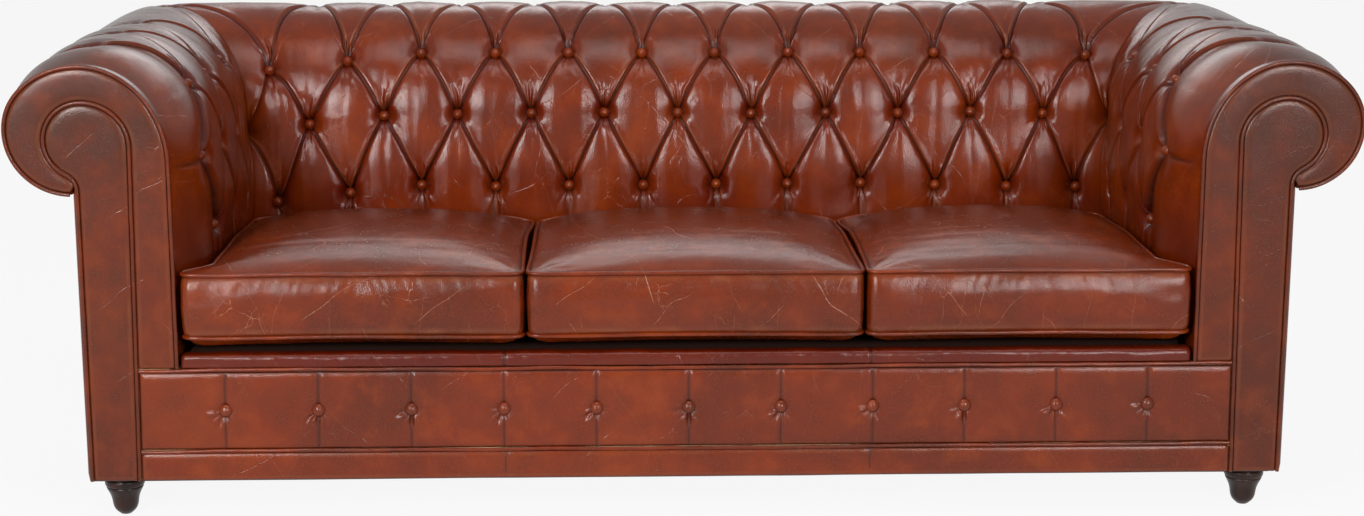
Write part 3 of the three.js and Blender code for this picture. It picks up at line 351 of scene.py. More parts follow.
def leatherMaterial(name, scuffs=0.25, patches=1.0, lighter=0.0, shine=0.0, creases=0.3, knotFolds=0.0):
    # waxed pull-up leather: cloudy patches, fine grain, pale cracks and scuffs, painted shade in folds and hollows, and
    # worn edges partly lit by a painted highlight
    material, tree, surface, place = newMaterial(name)
    cloud = noise(tree, place, leather["patchScale"], 5.0, 0.58, distortion=0.6)
    mottle = noise(tree, place, leather["mottleScale"], 5.0, 0.62)
    speck = noise(tree, place, 260.0, 3.0, 0.6)
    fold = addNode(tree, "ShaderNodeAttribute", attribute_name="painted_crease_shade").outputs["Fac"]
    wear_and_highlight = addNode(tree, "ShaderNodeAttribute", attribute_name="wear_and_highlight").outputs["Fac"]
    hollow = addNode(tree, "ShaderNodeAttribute", attribute_name="hollow").outputs["Fac"]
    patina_and_shade = addNode(tree, "ShaderNodeAttribute", attribute_name="patina_and_shade").outputs["Fac"]

    darkShare = math2(tree, "MULTIPLY", remap(tree, cloud, 0.49, 0.66), 0.72 * patches)
    colour = blendColour(tree, darkShare, leather["mid"], leather["dark"])
    brightShare = math2(tree, "MULTIPLY", remap(tree, cloud, 0.50, 0.34), 0.45 + lighter)
    colour = blendColour(tree, brightShare, colour, leather["bright"])
    colour = blendColour(tree, remap(tree, mottle, 0.42, 0.68, 0.0, 0.52 * patches), colour, leather["dark"])
    colour = blendColour(tree, remap(tree, mottle, 0.46, 0.30, 0.0, 0.40), colour, leather["bright"])
    colour = blendColour(tree, remap(tree, speck, 0.45, 0.75, 0.0, 0.24), colour, leather["bright"])
    # a darker tone, partly the leather's own and partly painted shade, where the mesh marks it
    darkened = math2(tree, "MULTIPLY", patina_and_shade, remap(tree, mottle, 0.25, 0.65, 0.55, 1.0))
    colour = blendColour(tree, darkened, colour, leather["patina_and_shade"])
    # painted shade in the hollows beside pleats and buttons
    colour = blendColour(tree, math2(tree, "MULTIPLY", hollow, 0.9), colour, leather["hollow"])
    # worn edges made lighter, partly as a painted highlight
    wearAndHighlightShare = math2(tree, "MULTIPLY", wear_and_highlight, remap(tree, mottle, 0.3, 0.6, 0.25, 1.0))
    colour = blendColour(tree, wearAndHighlightShare, colour, leather["wear_and_highlight"])

    # pale cracks: thin, bent cell borders that show only in stretches
    bent = addNode(tree, "ShaderNodeTexNoise", {"Vector": place, "Scale": 7.0, "Detail": 4.0})
    offset = addNode(tree, "ShaderNodeVectorMath", {0: bent.outputs["Color"], 1: (0.16, 0.16, 0.16)}, operation="MULTIPLY")
    moved = addNode(tree, "ShaderNodeVectorMath", {0: place, 1: offset.outputs[0]}, operation="ADD").outputs[0]
    cells = addNode(tree, "ShaderNodeTexVoronoi", {"Vector": moved, "Scale": 21.0}, feature="DISTANCE_TO_EDGE")
    scuffLines = remap(tree, cells.outputs["Distance"], 0.0, 0.012, 1.0, 0.0)
    scuffLines = math2(tree, "MULTIPLY", scuffLines, remap(tree, noise(tree, moved, 6.5, 2.0), 0.58, 0.66))
    # scratches: long hairlines that wander across, and show in stretches
    for way, spacing, width, seed in (((0.8, 0.2, 0.55), 0.13, 0.024, 0.0), ((-0.55, 0.5, 0.7), 0.10, 0.020, 4.2), ((0.9, -0.6, -0.2), 0.075, 0.018, 7.7)):
        moved = addNode(tree, "ShaderNodeMapping", {"Vector": place, "Location": (seed, seed, seed)}).outputs[0]
        across = addNode(tree, "ShaderNodeVectorMath", {0: place, 1: way}, operation="DOT_PRODUCT").outputs["Value"]
        wander = math2(tree, "MULTIPLY", noise(tree, moved, 5.0, 2.0, 0.45), 3.4)
        phase = math2(tree, "ADD", math2(tree, "MULTIPLY", across, math.pi / spacing), wander)
        line = remap(tree, math2(tree, "ABSOLUTE", math2(tree, "SINE", phase)), 0.0, width, 1.0, 0.0)
        line = math2(tree, "MULTIPLY", line, remap(tree, noise(tree, moved, 9.0, 1.0), 0.50, 0.58))
        scuffLines = math2(tree, "MAXIMUM", scuffLines, line)
    broken = remap(tree, noise(tree, place, 120.0, 2.0), 0.3, 0.6)
    scuffLines = math2(tree, "MULTIPLY", scuffLines, broken)
    colour = blendColour(tree, math2(tree, "MULTIPLY", scuffLines, scuffs), colour, leather["scuff"])
    # painted shade: folds, seams and button dimples go nearly black
    deep = math2(tree, "POWER", fold, 1.3)
    colour = blendColour(tree, math2(tree, "MULTIPLY", deep, 0.92), colour, leather["painted_crease_shade"])
    tree.links.new(colour, surface.inputs["Base Color"])

    low, high = leather["roughness"]
    uneven = math2(tree, "ADD", math2(tree, "MULTIPLY", mottle, 0.6), math2(tree, "MULTIPLY", speck, 0.4))
    rough = remap(tree, uneven, 0.3, 0.7, low - shine, high - shine)
    rough = math2(tree, "ADD", rough, math2(tree, "MULTIPLY", fold, 0.25), clamp=True)
    tree.links.new(rough, surface.inputs["Roughness"])

    pores = addNode(tree, "ShaderNodeTexVoronoi", {"Vector": place, "Scale": leather["grainScale"]})
    grain = bump(tree, pores.outputs["Distance"], leather["grainDepth"])
    wrinkles = noise(tree, place, leather["wrinkleScale"], 4.0, 0.6, distortion=1.2)
    fine = bump(tree, wrinkles, leather["wrinkleDepth"], under=grain)
    soft = bump(tree, noise(tree, place, 22.0, 2.0), 0.0007 * creases / 0.3, under=fine)
    if knotFolds:
        soft = bump(tree, foldsAtKnots(tree), knotFolds, under=soft)
    cracked = bump(tree, scuffLines, -0.0003, under=soft)
    tree.links.new(cracked, surface.inputs["Normal"])
    surface.inputs["Specular IOR Level"].default_value = leather["specular"]
    material.diffuse_color = (*leather["mid"], 1)
    return material


def woodMaterial(name, light, dark, scale, roughness, coat=0.0, rings=(1.0, 1.0, 0.12)):
    material, tree, surface, place = newMaterial(name)
    grain = noise(tree, place, scale, 6.0, 0.62, stretch=rings, distortion=0.9)
    pores = noise(tree, place, scale * 5, 2.0, 0.5, stretch=rings)
    colour = blendColour(tree, remap(tree, grain, 0.35, 0.65), dark, light)
    colour = blendColour(tree, remap(tree, pores, 0.55, 0.75, 0.0, 0.5), colour, dark)
    tree.links.new(colour, surface.inputs["Base Color"])
    tree.links.new(remap(tree, grain, 0.3, 0.7, roughness - 0.07, roughness + 0.07), surface.inputs["Roughness"])
    tree.links.new(bump(tree, pores, 0.0003), surface.inputs["Normal"])
    surface.inputs["Coat Weight"].default_value = coat
    surface.inputs["Coat Roughness"].default_value = 0.2
    surface.inputs["Specular IOR Level"].default_value = 0.25
    return material


def wovenMaterial(name, light, dark, pitch, depth, roughness=0.85):
    # plain weave read from Object coordinates: threads over and under along X and Y
    material, tree, surface, place = newMaterial(name)
    apart = addNode(tree, "ShaderNodeSeparateXYZ", {0: place})
    turn = 2 * math.pi / (2 * pitch)
    waves = [math2(tree, "SINE", math2(tree, "MULTIPLY", apart.outputs[axis], turn)) for axis in "XY"]
    over = remap(tree, math2(tree, "MULTIPLY", *waves), -1.0, 1.0)
    fuzz = noise(tree, place, 0.6 / pitch, 3.0, 0.6)
    colour = blendColour(tree, remap(tree, over, 0.2, 0.8), dark, light)
    colour = blendColour(tree, remap(tree, fuzz, 0.4, 0.7, 0.0, 0.5), colour, dark)
    tree.links.new(colour, surface.inputs["Base Color"])
    tree.links.new(remap(tree, fuzz, 0.3, 0.7, roughness - 0.1, roughness), surface.inputs["Roughness"])
    tree.links.new(bump(tree, over, depth), surface.inputs["Normal"])
    surface.inputs["Specular IOR Level"].default_value = 0.06
    return material


def metalMaterial(name, bright, dull, roughness):
    material, tree, surface, place = newMaterial(name)
    stain = noise(tree, place, 90.0, 4.0, 0.6)
    brushed = noise(tree, place, 900.0, 2.0, 0.5, stretch=(1.0, 1.0, 0.05))
    tree.links.new(blendColour(tree, remap(tree, stain, 0.4, 0.7), bright, dull), surface.inputs["Base Color"])
    tree.links.new(remap(tree, brushed, 0.3, 0.7, roughness - 0.08, roughness + 0.1), surface.inputs["Roughness"])
    tree.links.new(bump(tree, brushed, 0.00005), surface.inputs["Normal"])
    surface.inputs["Metallic"].default_value = 1.0
    return material


def foamMaterial(name):
    material, tree, surface, place = newMaterial(name)
    cells = addNode(tree, "ShaderNodeTexVoronoi", {"Vector": place, "Scale": 420.0}).outputs["Distance"]
    tint = noise(tree, place, 9.0, 3.0, 0.5)
    colour = blendColour(tree, remap(tree, tint, 0.3, 0.7), (0.78, 0.70, 0.47), (0.70, 0.60, 0.36))
    tree.links.new(colour, surface.inputs["Base Color"])
    tree.links.new(remap(tree, cells, 0.0, 0.6, 0.95, 0.8), surface.inputs["Roughness"])
    tree.links.new(bump(tree, cells, 0.0006), surface.inputs["Normal"])
    return material


quiltLeather = leatherMaterial("quilted_leather", scuffs=0.16, patches=0.95, shine=0.05, knotFolds=0.0015)
cushionLeather = leatherMaterial("cushion_leather", scuffs=0.55, patches=0.9, lighter=-0.15, creases=0.35)
panelLeather = leatherMaterial("panel_leather", scuffs=0.12, patches=0.9, lighter=-0.1, creases=0.2)
cordLeather = leatherMaterial("piping_leather", scuffs=0.1, patches=1.3, lighter=-0.4, creases=0.1)
buttonLeather = leatherMaterial("button_leather", scuffs=0.1, patches=1.0, creases=0.1)
beechWood = woodMaterial("beech_wood", (0.56, 0.36, 0.19), (0.40, 0.24, 0.12), 26.0, 0.62)
footWood = woodMaterial("dark_turned_wood", (0.036, 0.013, 0.008), (0.010, 0.0045, 0.003), 34.0, 0.36, coat=0.06)
deckCloth = wovenMaterial("deck_cloth", (0.016, 0.006, 0.004), (0.007, 0.003, 0.002), 0.0011, 0.0003)
dustCloth = wovenMaterial("dust_cloth", (0.030, 0.029, 0.028), (0.009, 0.009, 0.009), 0.0008, 0.0002)
juteWebbing = wovenMaterial("jute_webbing", (0.34, 0.24, 0.12), (0.16, 0.10, 0.05), 0.0024, 0.0006)
boltSteel = metalMaterial("bolt_steel", (0.56, 0.56, 0.57), (0.38, 0.37, 0.36), 0.32)
zipBrass = metalMaterial("zip_brass", (0.62, 0.43, 0.17), (0.38, 0.25, 0.10), 0.3)
cushionFoam = foamMaterial("cushion_foam")
print("materials ready:", len(bpy.data.materials))


# Geometry Nodes shared by cords, buttons and zips

def nodeTree(name, sizes):
    # a tree with a geometry in and out, and one named input for each size
    tree = bpy.data.node_groups.new(name, "GeometryNodeTree")
    tree.interface.new_socket("Geometry", in_out="INPUT", socket_type="NodeSocketGeometry")
    for label, value in sizes.items():
        kind = "NodeSocketInt" if isinstance(value, int) else "NodeSocketFloat"
        tree.interface.new_socket(label, in_out="INPUT", socket_type=kind).default_value = value
    tree.interface.new_socket("Geometry", in_out="OUTPUT", socket_type="NodeSocketGeometry")
    return tree, addNode(tree, "NodeGroupInput").outputs


def endTree(tree, geometry, material):
    real = addNode(tree, "GeometryNodeRealizeInstances", {0: geometry}).outputs[0]
    smooth = addNode(tree, "GeometryNodeSetShadeSmooth", {"Geometry": real}).outputs[0]
    made = addNode(tree, "GeometryNodeSetMaterial", {"Geometry": smooth, "Material": material}).outputs[0]
    addNode(tree, "NodeGroupOutput", {0: made})


def grown(obj, tree, values):
    # runs a tree on an object with these sizes and keeps the result as a plain mesh
    modifier = obj.modifiers.new(tree.name, "NODES")
    modifier.node_group = tree
    for item in tree.interface.items_tree:
        if item.in_out == "INPUT" and item.name in values:
            modifier[item.identifier] = values[item.name]
    return applyModifiers(obj)


def cordTree(name, material):
    # a leather-covered cord along each line of the mesh, thicker and thinner by a little
    tree, given = nodeTree(name, {"Cord radius": 0.0032, "Unevenness": 0.03, "Sides": 12, "Seed": 3})
    line = addNode(tree, "GeometryNodeMeshToCurve", {"Mesh": given["Geometry"]}).outputs[0]
    place = addNode(tree, "GeometryNodeInputPosition").outputs[0]
    wave = addNode(tree, "ShaderNodeTexNoise", {"Vector": place, "W": given["Seed"], "Scale": 28.0}, noise_dimensions="4D")
    around = math2(tree, "SUBTRACT", wave.outputs["Fac"], 0.5)
    change = math2(tree, "MULTIPLY", around, given["Unevenness"])
    factor = math2(tree, "ADD", math2(tree, "MULTIPLY", change, 2.0), 1.0)
    radius = math2(tree, "MULTIPLY", factor, given["Cord radius"])
    thick = addNode(tree, "GeometryNodeSetCurveRadius", {"Curve": line, "Radius": radius}).outputs[0]
    section = addNode(tree, "GeometryNodeCurvePrimitiveCircle", {"Resolution": given["Sides"], "Radius": 1.0})
    inputs = {"Curve": thick, "Profile Curve": section.outputs[0], "Fill Caps": True}
    sweep = addNode(tree, "GeometryNodeCurveToMesh", inputs)
    if "Scale" in sweep.inputs:
        tree.links.new(radius, sweep.inputs["Scale"])
    endTree(tree, sweep.outputs[0], material)
    return tree


def buttonTree(name, material):
    # a covered button on each point, turned to face along the point's own direction
    sizes = {"Button radius": 0.0095, "Dome": 0.0058, "Tilt": 0.10, "Seed": 5}
    tree, given = nodeTree(name, sizes)
    dome = addNode(tree, "GeometryNodeMeshUVSphere", {"Segments": 20, "Rings": 12, "Radius": 1.0}).outputs[0]
    height = addNode(tree, "GeometryNodeInputPosition").outputs[0]
    apart = addNode(tree, "ShaderNodeSeparateXYZ", {0: height}).outputs
    # the rim stays full and the top flattens, as leather pulled over a metal cap does
    level = math2(tree, "MULTIPLY", apart["Z"], math2(tree, "ADD", math2(tree, "ABSOLUTE", apart["Z"]), 0.6))
    flat = math2(tree, "MULTIPLY", level, given["Dome"])
    wide = [math2(tree, "MULTIPLY", apart[axis], given["Button radius"]) for axis in "XY"]
    shaped = addNode(tree, "ShaderNodeCombineXYZ", {0: wide[0], 1: wide[1], 2: flat}).outputs[0]
    cap = addNode(tree, "GeometryNodeSetPosition", {"Geometry": dome, "Position": shaped}).outputs[0]
    facing = addNode(tree, "GeometryNodeInputNamedAttribute", {"Name": "facing"}, data_type="FLOAT_VECTOR").outputs[0]
    turn = addNode(tree, "FunctionNodeAlignRotationToVector", {"Vector": facing}, axis="Z").outputs[0]
    low = math2(tree, "MULTIPLY", given["Tilt"], -1.0)
    lean = addNode(tree, "FunctionNodeRandomValue", {"Seed": given["Seed"]}, data_type="FLOAT_VECTOR")
    for socket, value in ((0, low), (1, given["Tilt"])):
        tree.links.new(value, lean.inputs[socket])
    leaning = addNode(tree, "FunctionNodeEulerToRotation", {0: lean.outputs[0]}).outputs[0]
    turned = addNode(tree, "FunctionNodeRotateRotation", {0: turn, 1: leaning}, rotation_space="LOCAL").outputs[0]
    inputs = {"Points": given["Geometry"], "Instance": cap, "Rotation": turned}
    endTree(tree, addNode(tree, "GeometryNodeInstanceOnPoints", inputs).outputs[0], material)
    return tree


cordNodes = cordTree("leather_cord", cordLeather)
buttonNodes = buttonTree("covered_buttons", buttonLeather)


def lineObject(name, lines, closed=False):
    points, edges = [], []
    for line in lines:
        first = len(points)
        points += [tuple(p) for p in line]
        edges += [(i, i + 1) for i in range(first, len(points) - 1)]
        if closed:
            edges.append((len(points) - 1, first))
    mesh = bpy.data.meshes.new(name)
    mesh.from_pydata(points, edges, [])
    obj = bpy.data.objects.new(name, mesh)
    scene.collection.objects.link(obj)
    return obj


def cord(name, lines, radius, closed=False, unevenness=0.03):
    obj = lineObject(name, lines, closed)
    return grown(obj, cordNodes, {"Cord radius": radius, "Unevenness": unevenness})


def buttons(name, places, facings, radius, dome, tilt=0.10, seed=5):
    obj = lineObject(name, [[p] for p in places])
    layer = obj.data.attributes.new("facing", "FLOAT_VECTOR", "POINT")
    layer.data.foreach_set("vector", np.asarray(facings, np.float32).ravel())
    return grown(obj, buttonNodes, {"Button radius": radius, "Dome": dome, "Tilt": tilt, "Seed": seed})


# The scroll line, shared by arms and back: out from the inner face, up from the floor

scroll = {
    "front": -0.450,
    "innerFace": 0.840,
    "backFace": 0.168,
    "base": 0.258,
    "shoulder": 0.600,
    "crest": 0.760,
    "reach": 0.260,
    "setBack": 0.137,
    "radius": 0.104,
    "lean": 0.022,
    "post": 0.154,
}
shoulderRise = scroll["crest"] - scroll["shoulder"]
crownReach = scroll["reach"] - scroll["setBack"]


def quarterLength(a, b):
    return math.pi / 2 * math.hypot(a, b) * math.sqrt(0.5)


riseLength = scroll["shoulder"] - scroll["base"]
crestGirth = riseLength + quarterLength(scroll["setBack"], shoulderRise)
outerGirth = crestGirth + quarterLength(crownReach, scroll["radius"])
endGirth = outerGirth + quarterLength(scroll["radius"], scroll["radius"])


def scrollAt(girth, inset=0.0):
    # point and outward direction at each length along the scroll line
    girth = np.asarray(girth, float)
    turns = [
        np.clip((girth - start) / (end - start), 0, 1) * math.pi / 2
        for start, end in ((riseLength, crestGirth), (crestGirth, outerGirth), (outerGirth, endGirth))
    ]
    rise = girth <= riseLength
    shoulder = ~rise & (girth <= crestGirth)
    crown = ~rise & ~shoulder & (girth <= outerGirth)
    set_, radius = scroll["setBack"], scroll["radius"]
    level = scroll["crest"] - radius
    middle = scroll["reach"] - radius
    a, b, c = turns
    out = np.select(
        [rise, shoulder, crown],
        [inset + 0 * girth, set_ - (set_ - inset) * np.cos(a), set_ + (crownReach - inset) * np.sin(b)],
        middle + (radius - inset) * np.cos(c),
    )
    up = np.select(
        [rise, shoulder, crown],
        [
            scroll["base"] + girth,
            scroll["shoulder"] + (shoulderRise - inset) * np.sin(a),
            level + (radius - inset) * np.cos(b),
        ],
        level - (radius - inset) * np.sin(c),
    )
    # the direction turns evenly, so a tall swell doesn't kink where two arcs meet
    normalOut = np.select([rise, shoulder, crown], [-1 + 0 * girth, -np.cos(a), np.sin(b)], np.cos(c))
    normalUp = np.select([rise, shoulder, crown], [0 * girth, np.sin(a), np.cos(b)], -np.sin(c))
    return out, up, normalOut, normalUp


def backDepth(out, up):
    lean = scroll["lean"] * (up - scroll["base"]) / (scroll["crest"] - scroll["base"])
    return scroll["backFace"] + out + lean


# Deep buttoning

quilt = {
    "rowPitches": (0.135, 0.097, 0.147),
    "cells": 24,  # grid steps in half a diamond, so that pleats follow cell corners
    "tuckSteps": 30,
    "rollSteps": (28, 18),
    "innerSteps": 12,
    "wrap": 0.012,
    "stand": 0.018,
    "crestStand": 0.005,
    "swell": 0.027,
    "crestSwell": 0.0155,
    "tucked": 0.140,
    "pleatShare": 0.34,
    "shallow": 0.34,  # height left in a pleat
    "bow": {-1: 0.16, 0: 0.34, 1: 0.42},  # how far the pleats bow out between two rows
    "lowPlump": 0.24,
    "strip": 0.0046,
    "stripRise": 0.0026,
    "cup": 0.0125,
    "lap": 0.0018,
    "creaseDepth": 0.0042,
    "creaseWidth": 0.0017,
    "drift": 0.0028,
    "knotPucker": 0.0007,
    "droop": (0.032, 0.008),
    "pull": 0.0004,
}
lowPitch, middlePitch, topPitch = quilt["rowPitches"]
middleRow = crestGirth - topPitch
buttonRow = middleRow - middlePitch
lowRow = buttonRow - lowPitch
knotRows = {-1: lowRow, 0: buttonRow, 1: middleRow, 2: crestGirth}
startGirth = 0.0035


def rowOf(girth):
    # rows of knots are numbered from -1, the lowest, to 2 on the crest
    below, between = (girth - buttonRow) / lowPitch, (girth - buttonRow) / middlePitch
    return np.select([girth < buttonRow, girth < middleRow], [below, between], 1 + (girth - middleRow) / topPitch)


def rowStations():
    # lengths along the scroll line, and where each lies in the rows of diamonds
    girths, rows = [], []
    low = np.linspace(startGirth, lowRow, quilt["tuckSteps"] + 1)[:-1]
    girths += list(low)
    rows += list(rowOf(low))
    for band, bow in quilt["bow"].items():
        pitch = knotRows[band + 1] - knotRows[band]
        for step in range(quilt["cells"]):
            share = step / quilt["cells"]
            # the height at which a bowed pleat has come this far across
            rise = (bow - 1 + math.sqrt((1 - bow) ** 2 + 4 * bow * share)) / (2 * bow)
            girths.append(knotRows[band] + rise * pitch)
            rows.append(band + share)
    for start, end, count in ((crestGirth, outerGirth, quilt["rollSteps"][0]), (outerGirth, endGirth, quilt["rollSteps"][1])):
        for step in range(count):
            girth = mix(start, end, step / count)
            girths.append(girth)
            rows.append(float(rowOf(girth)))
    girths.append(endGirth)
    rows.append(float(rowOf(endGirth)))
    return np.array(girths), np.array(rows)


def standAt(girth):
    low = smoothStep(girth, 0, quilt["tucked"])
    share = np.clip((girth - riseLength) / (crestGirth - riseLength), 0, 1)
    past = np.clip((girth - crestGirth) / (endGirth - crestGirth), 0, 1)
    return np.where(girth <= crestGirth, mix(quilt["stand"], quilt["crestStand"], share) * low, quilt["crestStand"] * (1 - past))


def swellAt(girth):
    low = smoothStep(girth, 0, quilt["tucked"])
    share = np.clip((girth - riseLength) / (crestGirth - riseLength), 0, 1)
    past = np.clip((girth - crestGirth) / (endGirth - crestGirth), 0, 1)
    return np.where(
        girth <= crestGirth, mix(quilt["swell"], quilt["crestSwell"], share) * low, quilt["crestSwell"] * (1 - past**1.6)
    )


def pleatSides(share, above):
    # height beside a pleat: steep on the side that laps over it, softer on the other
    pillow = 4 * share * (1 - share)
    near = np.minimum(share, 1 - share)
    over = (share < 0.5) == above
    steep = mix(0.30, 0.42, np.clip(near * 4, 0, 1))
    soft = mix(0.43, 0.42, np.clip(near * 4, 0, 1))
    return pillow ** np.where(over, steep, soft)


def quiltShare(across, rows):
    # share of the full swell: 0 at a button, 1 in the middle of a diamond
    a = (across + rows / 2) % 1
    b = (across - rows / 2) % 1
    first, second = pleatSides(a, True), pleatSides(b, False)
    woven = quilt["pleatShare"] * np.maximum(first, second) ** 1.6 + (1 - quilt["pleatShare"]) * np.sqrt(first * second)
    high = pleatSides(across % 1, True)
    low = pleatSides((across + 0.5) % 1, True)
    return mix(quilt["shallow"], 1, np.select([rows >= 2, rows <= -1], [high, low], woven))


def pleatDistance(across, rows, pitch):
    # metres from the nearest pleat, and the side of it: above for 1, below for -1
    slope = np.cos(np.arctan2(pitch / 2, np.select([rows < 0, rows < 1], [lowPitch, middlePitch], topPitch)))
    a = (across + rows / 2 + 0.5) % 1 - 0.5
    b = (across - rows / 2 + 0.5) % 1 - 0.5
    woven = np.minimum(abs(a), abs(b)) * pitch * slope
    side = np.where(abs(a) < abs(b), np.sign(a), -np.sign(b))
    straightHigh = abs((across + 0.5) % 1 - 0.5) * pitch
    # below the lowest buttons the leather folds twice, into a narrow upright strip
    straightLow = abs(abs(across % 1 - 0.5) * pitch - quilt["strip"])
    far = np.select([rows >= 2, rows <= -1], [straightHigh, straightLow], woven)
    return far, np.where((rows >= 2) | (rows <= -1), 0, side)


def knotDistance(across, rows, girth, pitch):
    # metres across and along the girth from the nearest button
    best, dx, dg = None, None, None
    for row in (-1, 0, 1, 2):
        shift = 0.5 * (row % 2)
        x = ((across - shift + 0.5) % 1 - 0.5) * pitch
        g = girth - knotRows[row]
        far = np.hypot(x, g)
        if best is None:
            best, dx, dg = far, x, g
        else:
            nearer = far < best
            best, dx, dg = np.where(nearer, far, best), np.where(nearer, x, dx), np.where(nearer, g, dg)
    return best, dx, dg


def buttonedHeight(across, rows, girth, pitch, seed):
    # the leather's height over the scroll line, with its pleats, puckers and pulls
    share = quiltShare(across, rows)
    plump = 1 + 0.07 * softNoise(across * 0.9, rows * 0.9, seed=seed)
    knot, dx, dg = knotDistance(across, rows, girth, pitch)
    cup = 1 - np.exp(-((knot / quilt["cup"]) ** 2))
    plump = plump + quilt["lowPlump"] * np.exp(-(((rows + 0.72) / 0.42) ** 2))
    height = standAt(girth) + swellAt(girth) * share * plump * cup
    strip = np.exp(-((abs(across % 1 - 0.5) * pitch / 0.0038) ** 2)) * smoothStep(rows, -1.04, -1.14)
    height = height + quilt["stripRise"] * strip * smoothStep(girth, 0, quilt["tucked"])
    far, side = pleatDistance(across, rows, pitch)
    tuck = smoothStep(girth, 0, quilt["tucked"])
    width = quilt["creaseWidth"]
    height = height - quilt["creaseDepth"] * np.exp(-((far / width) ** 2)) * tuck
    height = height + quilt["lap"] * (side > 0) * np.exp(-(((far - 0.004) / 0.006) ** 2)) * tuck
    # creases fan out of each button, mostly up and down
    angle = np.arctan2(dx, abs(dg) + 1e-6)
    column = np.round(across * 2) + 31 * np.round(rows)
    fan = np.sin(angle * 9 + column * 1.7 + np.sign(dg) * 2.1) + 0.7 * np.sin(angle * 17 + column * 2.9)
    fanned = np.cos(angle) ** 2 * np.exp(-(((knot - 0.024) / 0.018) ** 2))
    height = height + quilt["knotPucker"] * fan * fanned
    # long soft pulls between the buttons, and a slightly uneven stuffing
    pull = softNoise(across * pitch / 0.013, girth / 0.11, seed=seed + 1) * np.clip(share * 1.6, 0, 1)
    loose = softNoise(across * pitch / 0.045, girth / 0.06, seed=seed + 2)
    height = height + quilt["pull"] * pull * tuck + 0.0011 * loose * tuck * share
    # painted shade in each pleat line and in the dimple round each button
    painted_crease_shade = np.exp(-((far / 0.0015) ** 2))
    painted_crease_shade = np.maximum(painted_crease_shade, 0.9 * np.exp(-((knot / 0.0125) ** 4)))
    # painted shade beside pleats and buttons, and over the lower rows
    hollow = 0.50 * np.exp(-((far / 0.010) ** 2)) + 0.5 * np.exp(-((knot / 0.036) ** 2)) + 0.5 * smoothStep(-rows, 0.3, 1.4)
    hollow = np.clip(hollow * (0.75 + 0.45 * softNoise(across * 1.7, rows * 1.9, seed=seed + 6)), 0, 1) * tuck
    fold = np.stack([dx, dg, 0.4 * np.round(across * 2) + 1.9 * np.round(rows)], -1)
    reach = np.where(dg > 0, 1.0, 0.65)
    ring = smoothStep(knot, 0.007, 0.014) * (1 - smoothStep(knot / reach, 0.026, 0.056))
    folds = ring * (1 - smoothStep(abs(angle), 0.28, 0.68)) * np.where(dg > 0, 1.0, 0.4)
    # painted shade on the upper diamonds, for the dark they would reflect, and a little over the crest
    upper = np.exp(-(((rows - 1.05) / 0.42) ** 2)) * np.clip(share - 0.55, 0, 1) * 2
    patina_and_shade = 0.62 * upper * (0.6 + 0.6 * softNoise(across * 0.9, rows * 1.1, seed=seed + 9)) + 0.12 * smoothStep(rows, 1.9, 3.4)
    # a lighter line on the lapping side of each pleat: wear, partly a painted highlight
    wear_and_highlight = 0.5 * np.exp(-(((far - 0.0046) / 0.0020) ** 2)) * (side >= 0)
    wear_and_highlight = wear_and_highlight * (0.55 + 0.45 * softNoise(across * 3.1, rows * 2.3, seed=seed + 4))
    marks = {"painted_crease_shade": painted_crease_shade * tuck, "wear_and_highlight": wear_and_highlight, "hollow": hollow, "patina_and_shade": np.clip(patina_and_shade, 0, 1), "folds": folds, "knot": fold}
    return height, marks


def drooped(along, girth):
    # the rows of the back hang lower near its corners
    left, right = quilt["droop"]
    low = left * smoothStep(-along, 0.50, 0.82) + right * smoothStep(along, 0.50, 0.78)
    return -low * smoothStep(girth, 0.02, 0.16) * (1 - smoothStep(girth, middleRow, crestGirth))


def drifted(along, girth, seed, drooping=False):
    # buttons tied by hand: the whole pattern strays a little from its even spacing
    spread = smoothStep(girth, 0.05, 0.2) * (1 - smoothStep(girth, crestGirth, crestGirth + 0.1))
    dx = quilt["drift"] * softNoise(along / 0.12, girth / 0.10, seed=seed + 7) * spread
    dg = quilt["drift"] * softNoise(along / 0.12, girth / 0.10, seed=seed + 8) * spread
    if drooping:
        dg = dg + drooped(along, girth)
    return along + dx, girth + dg


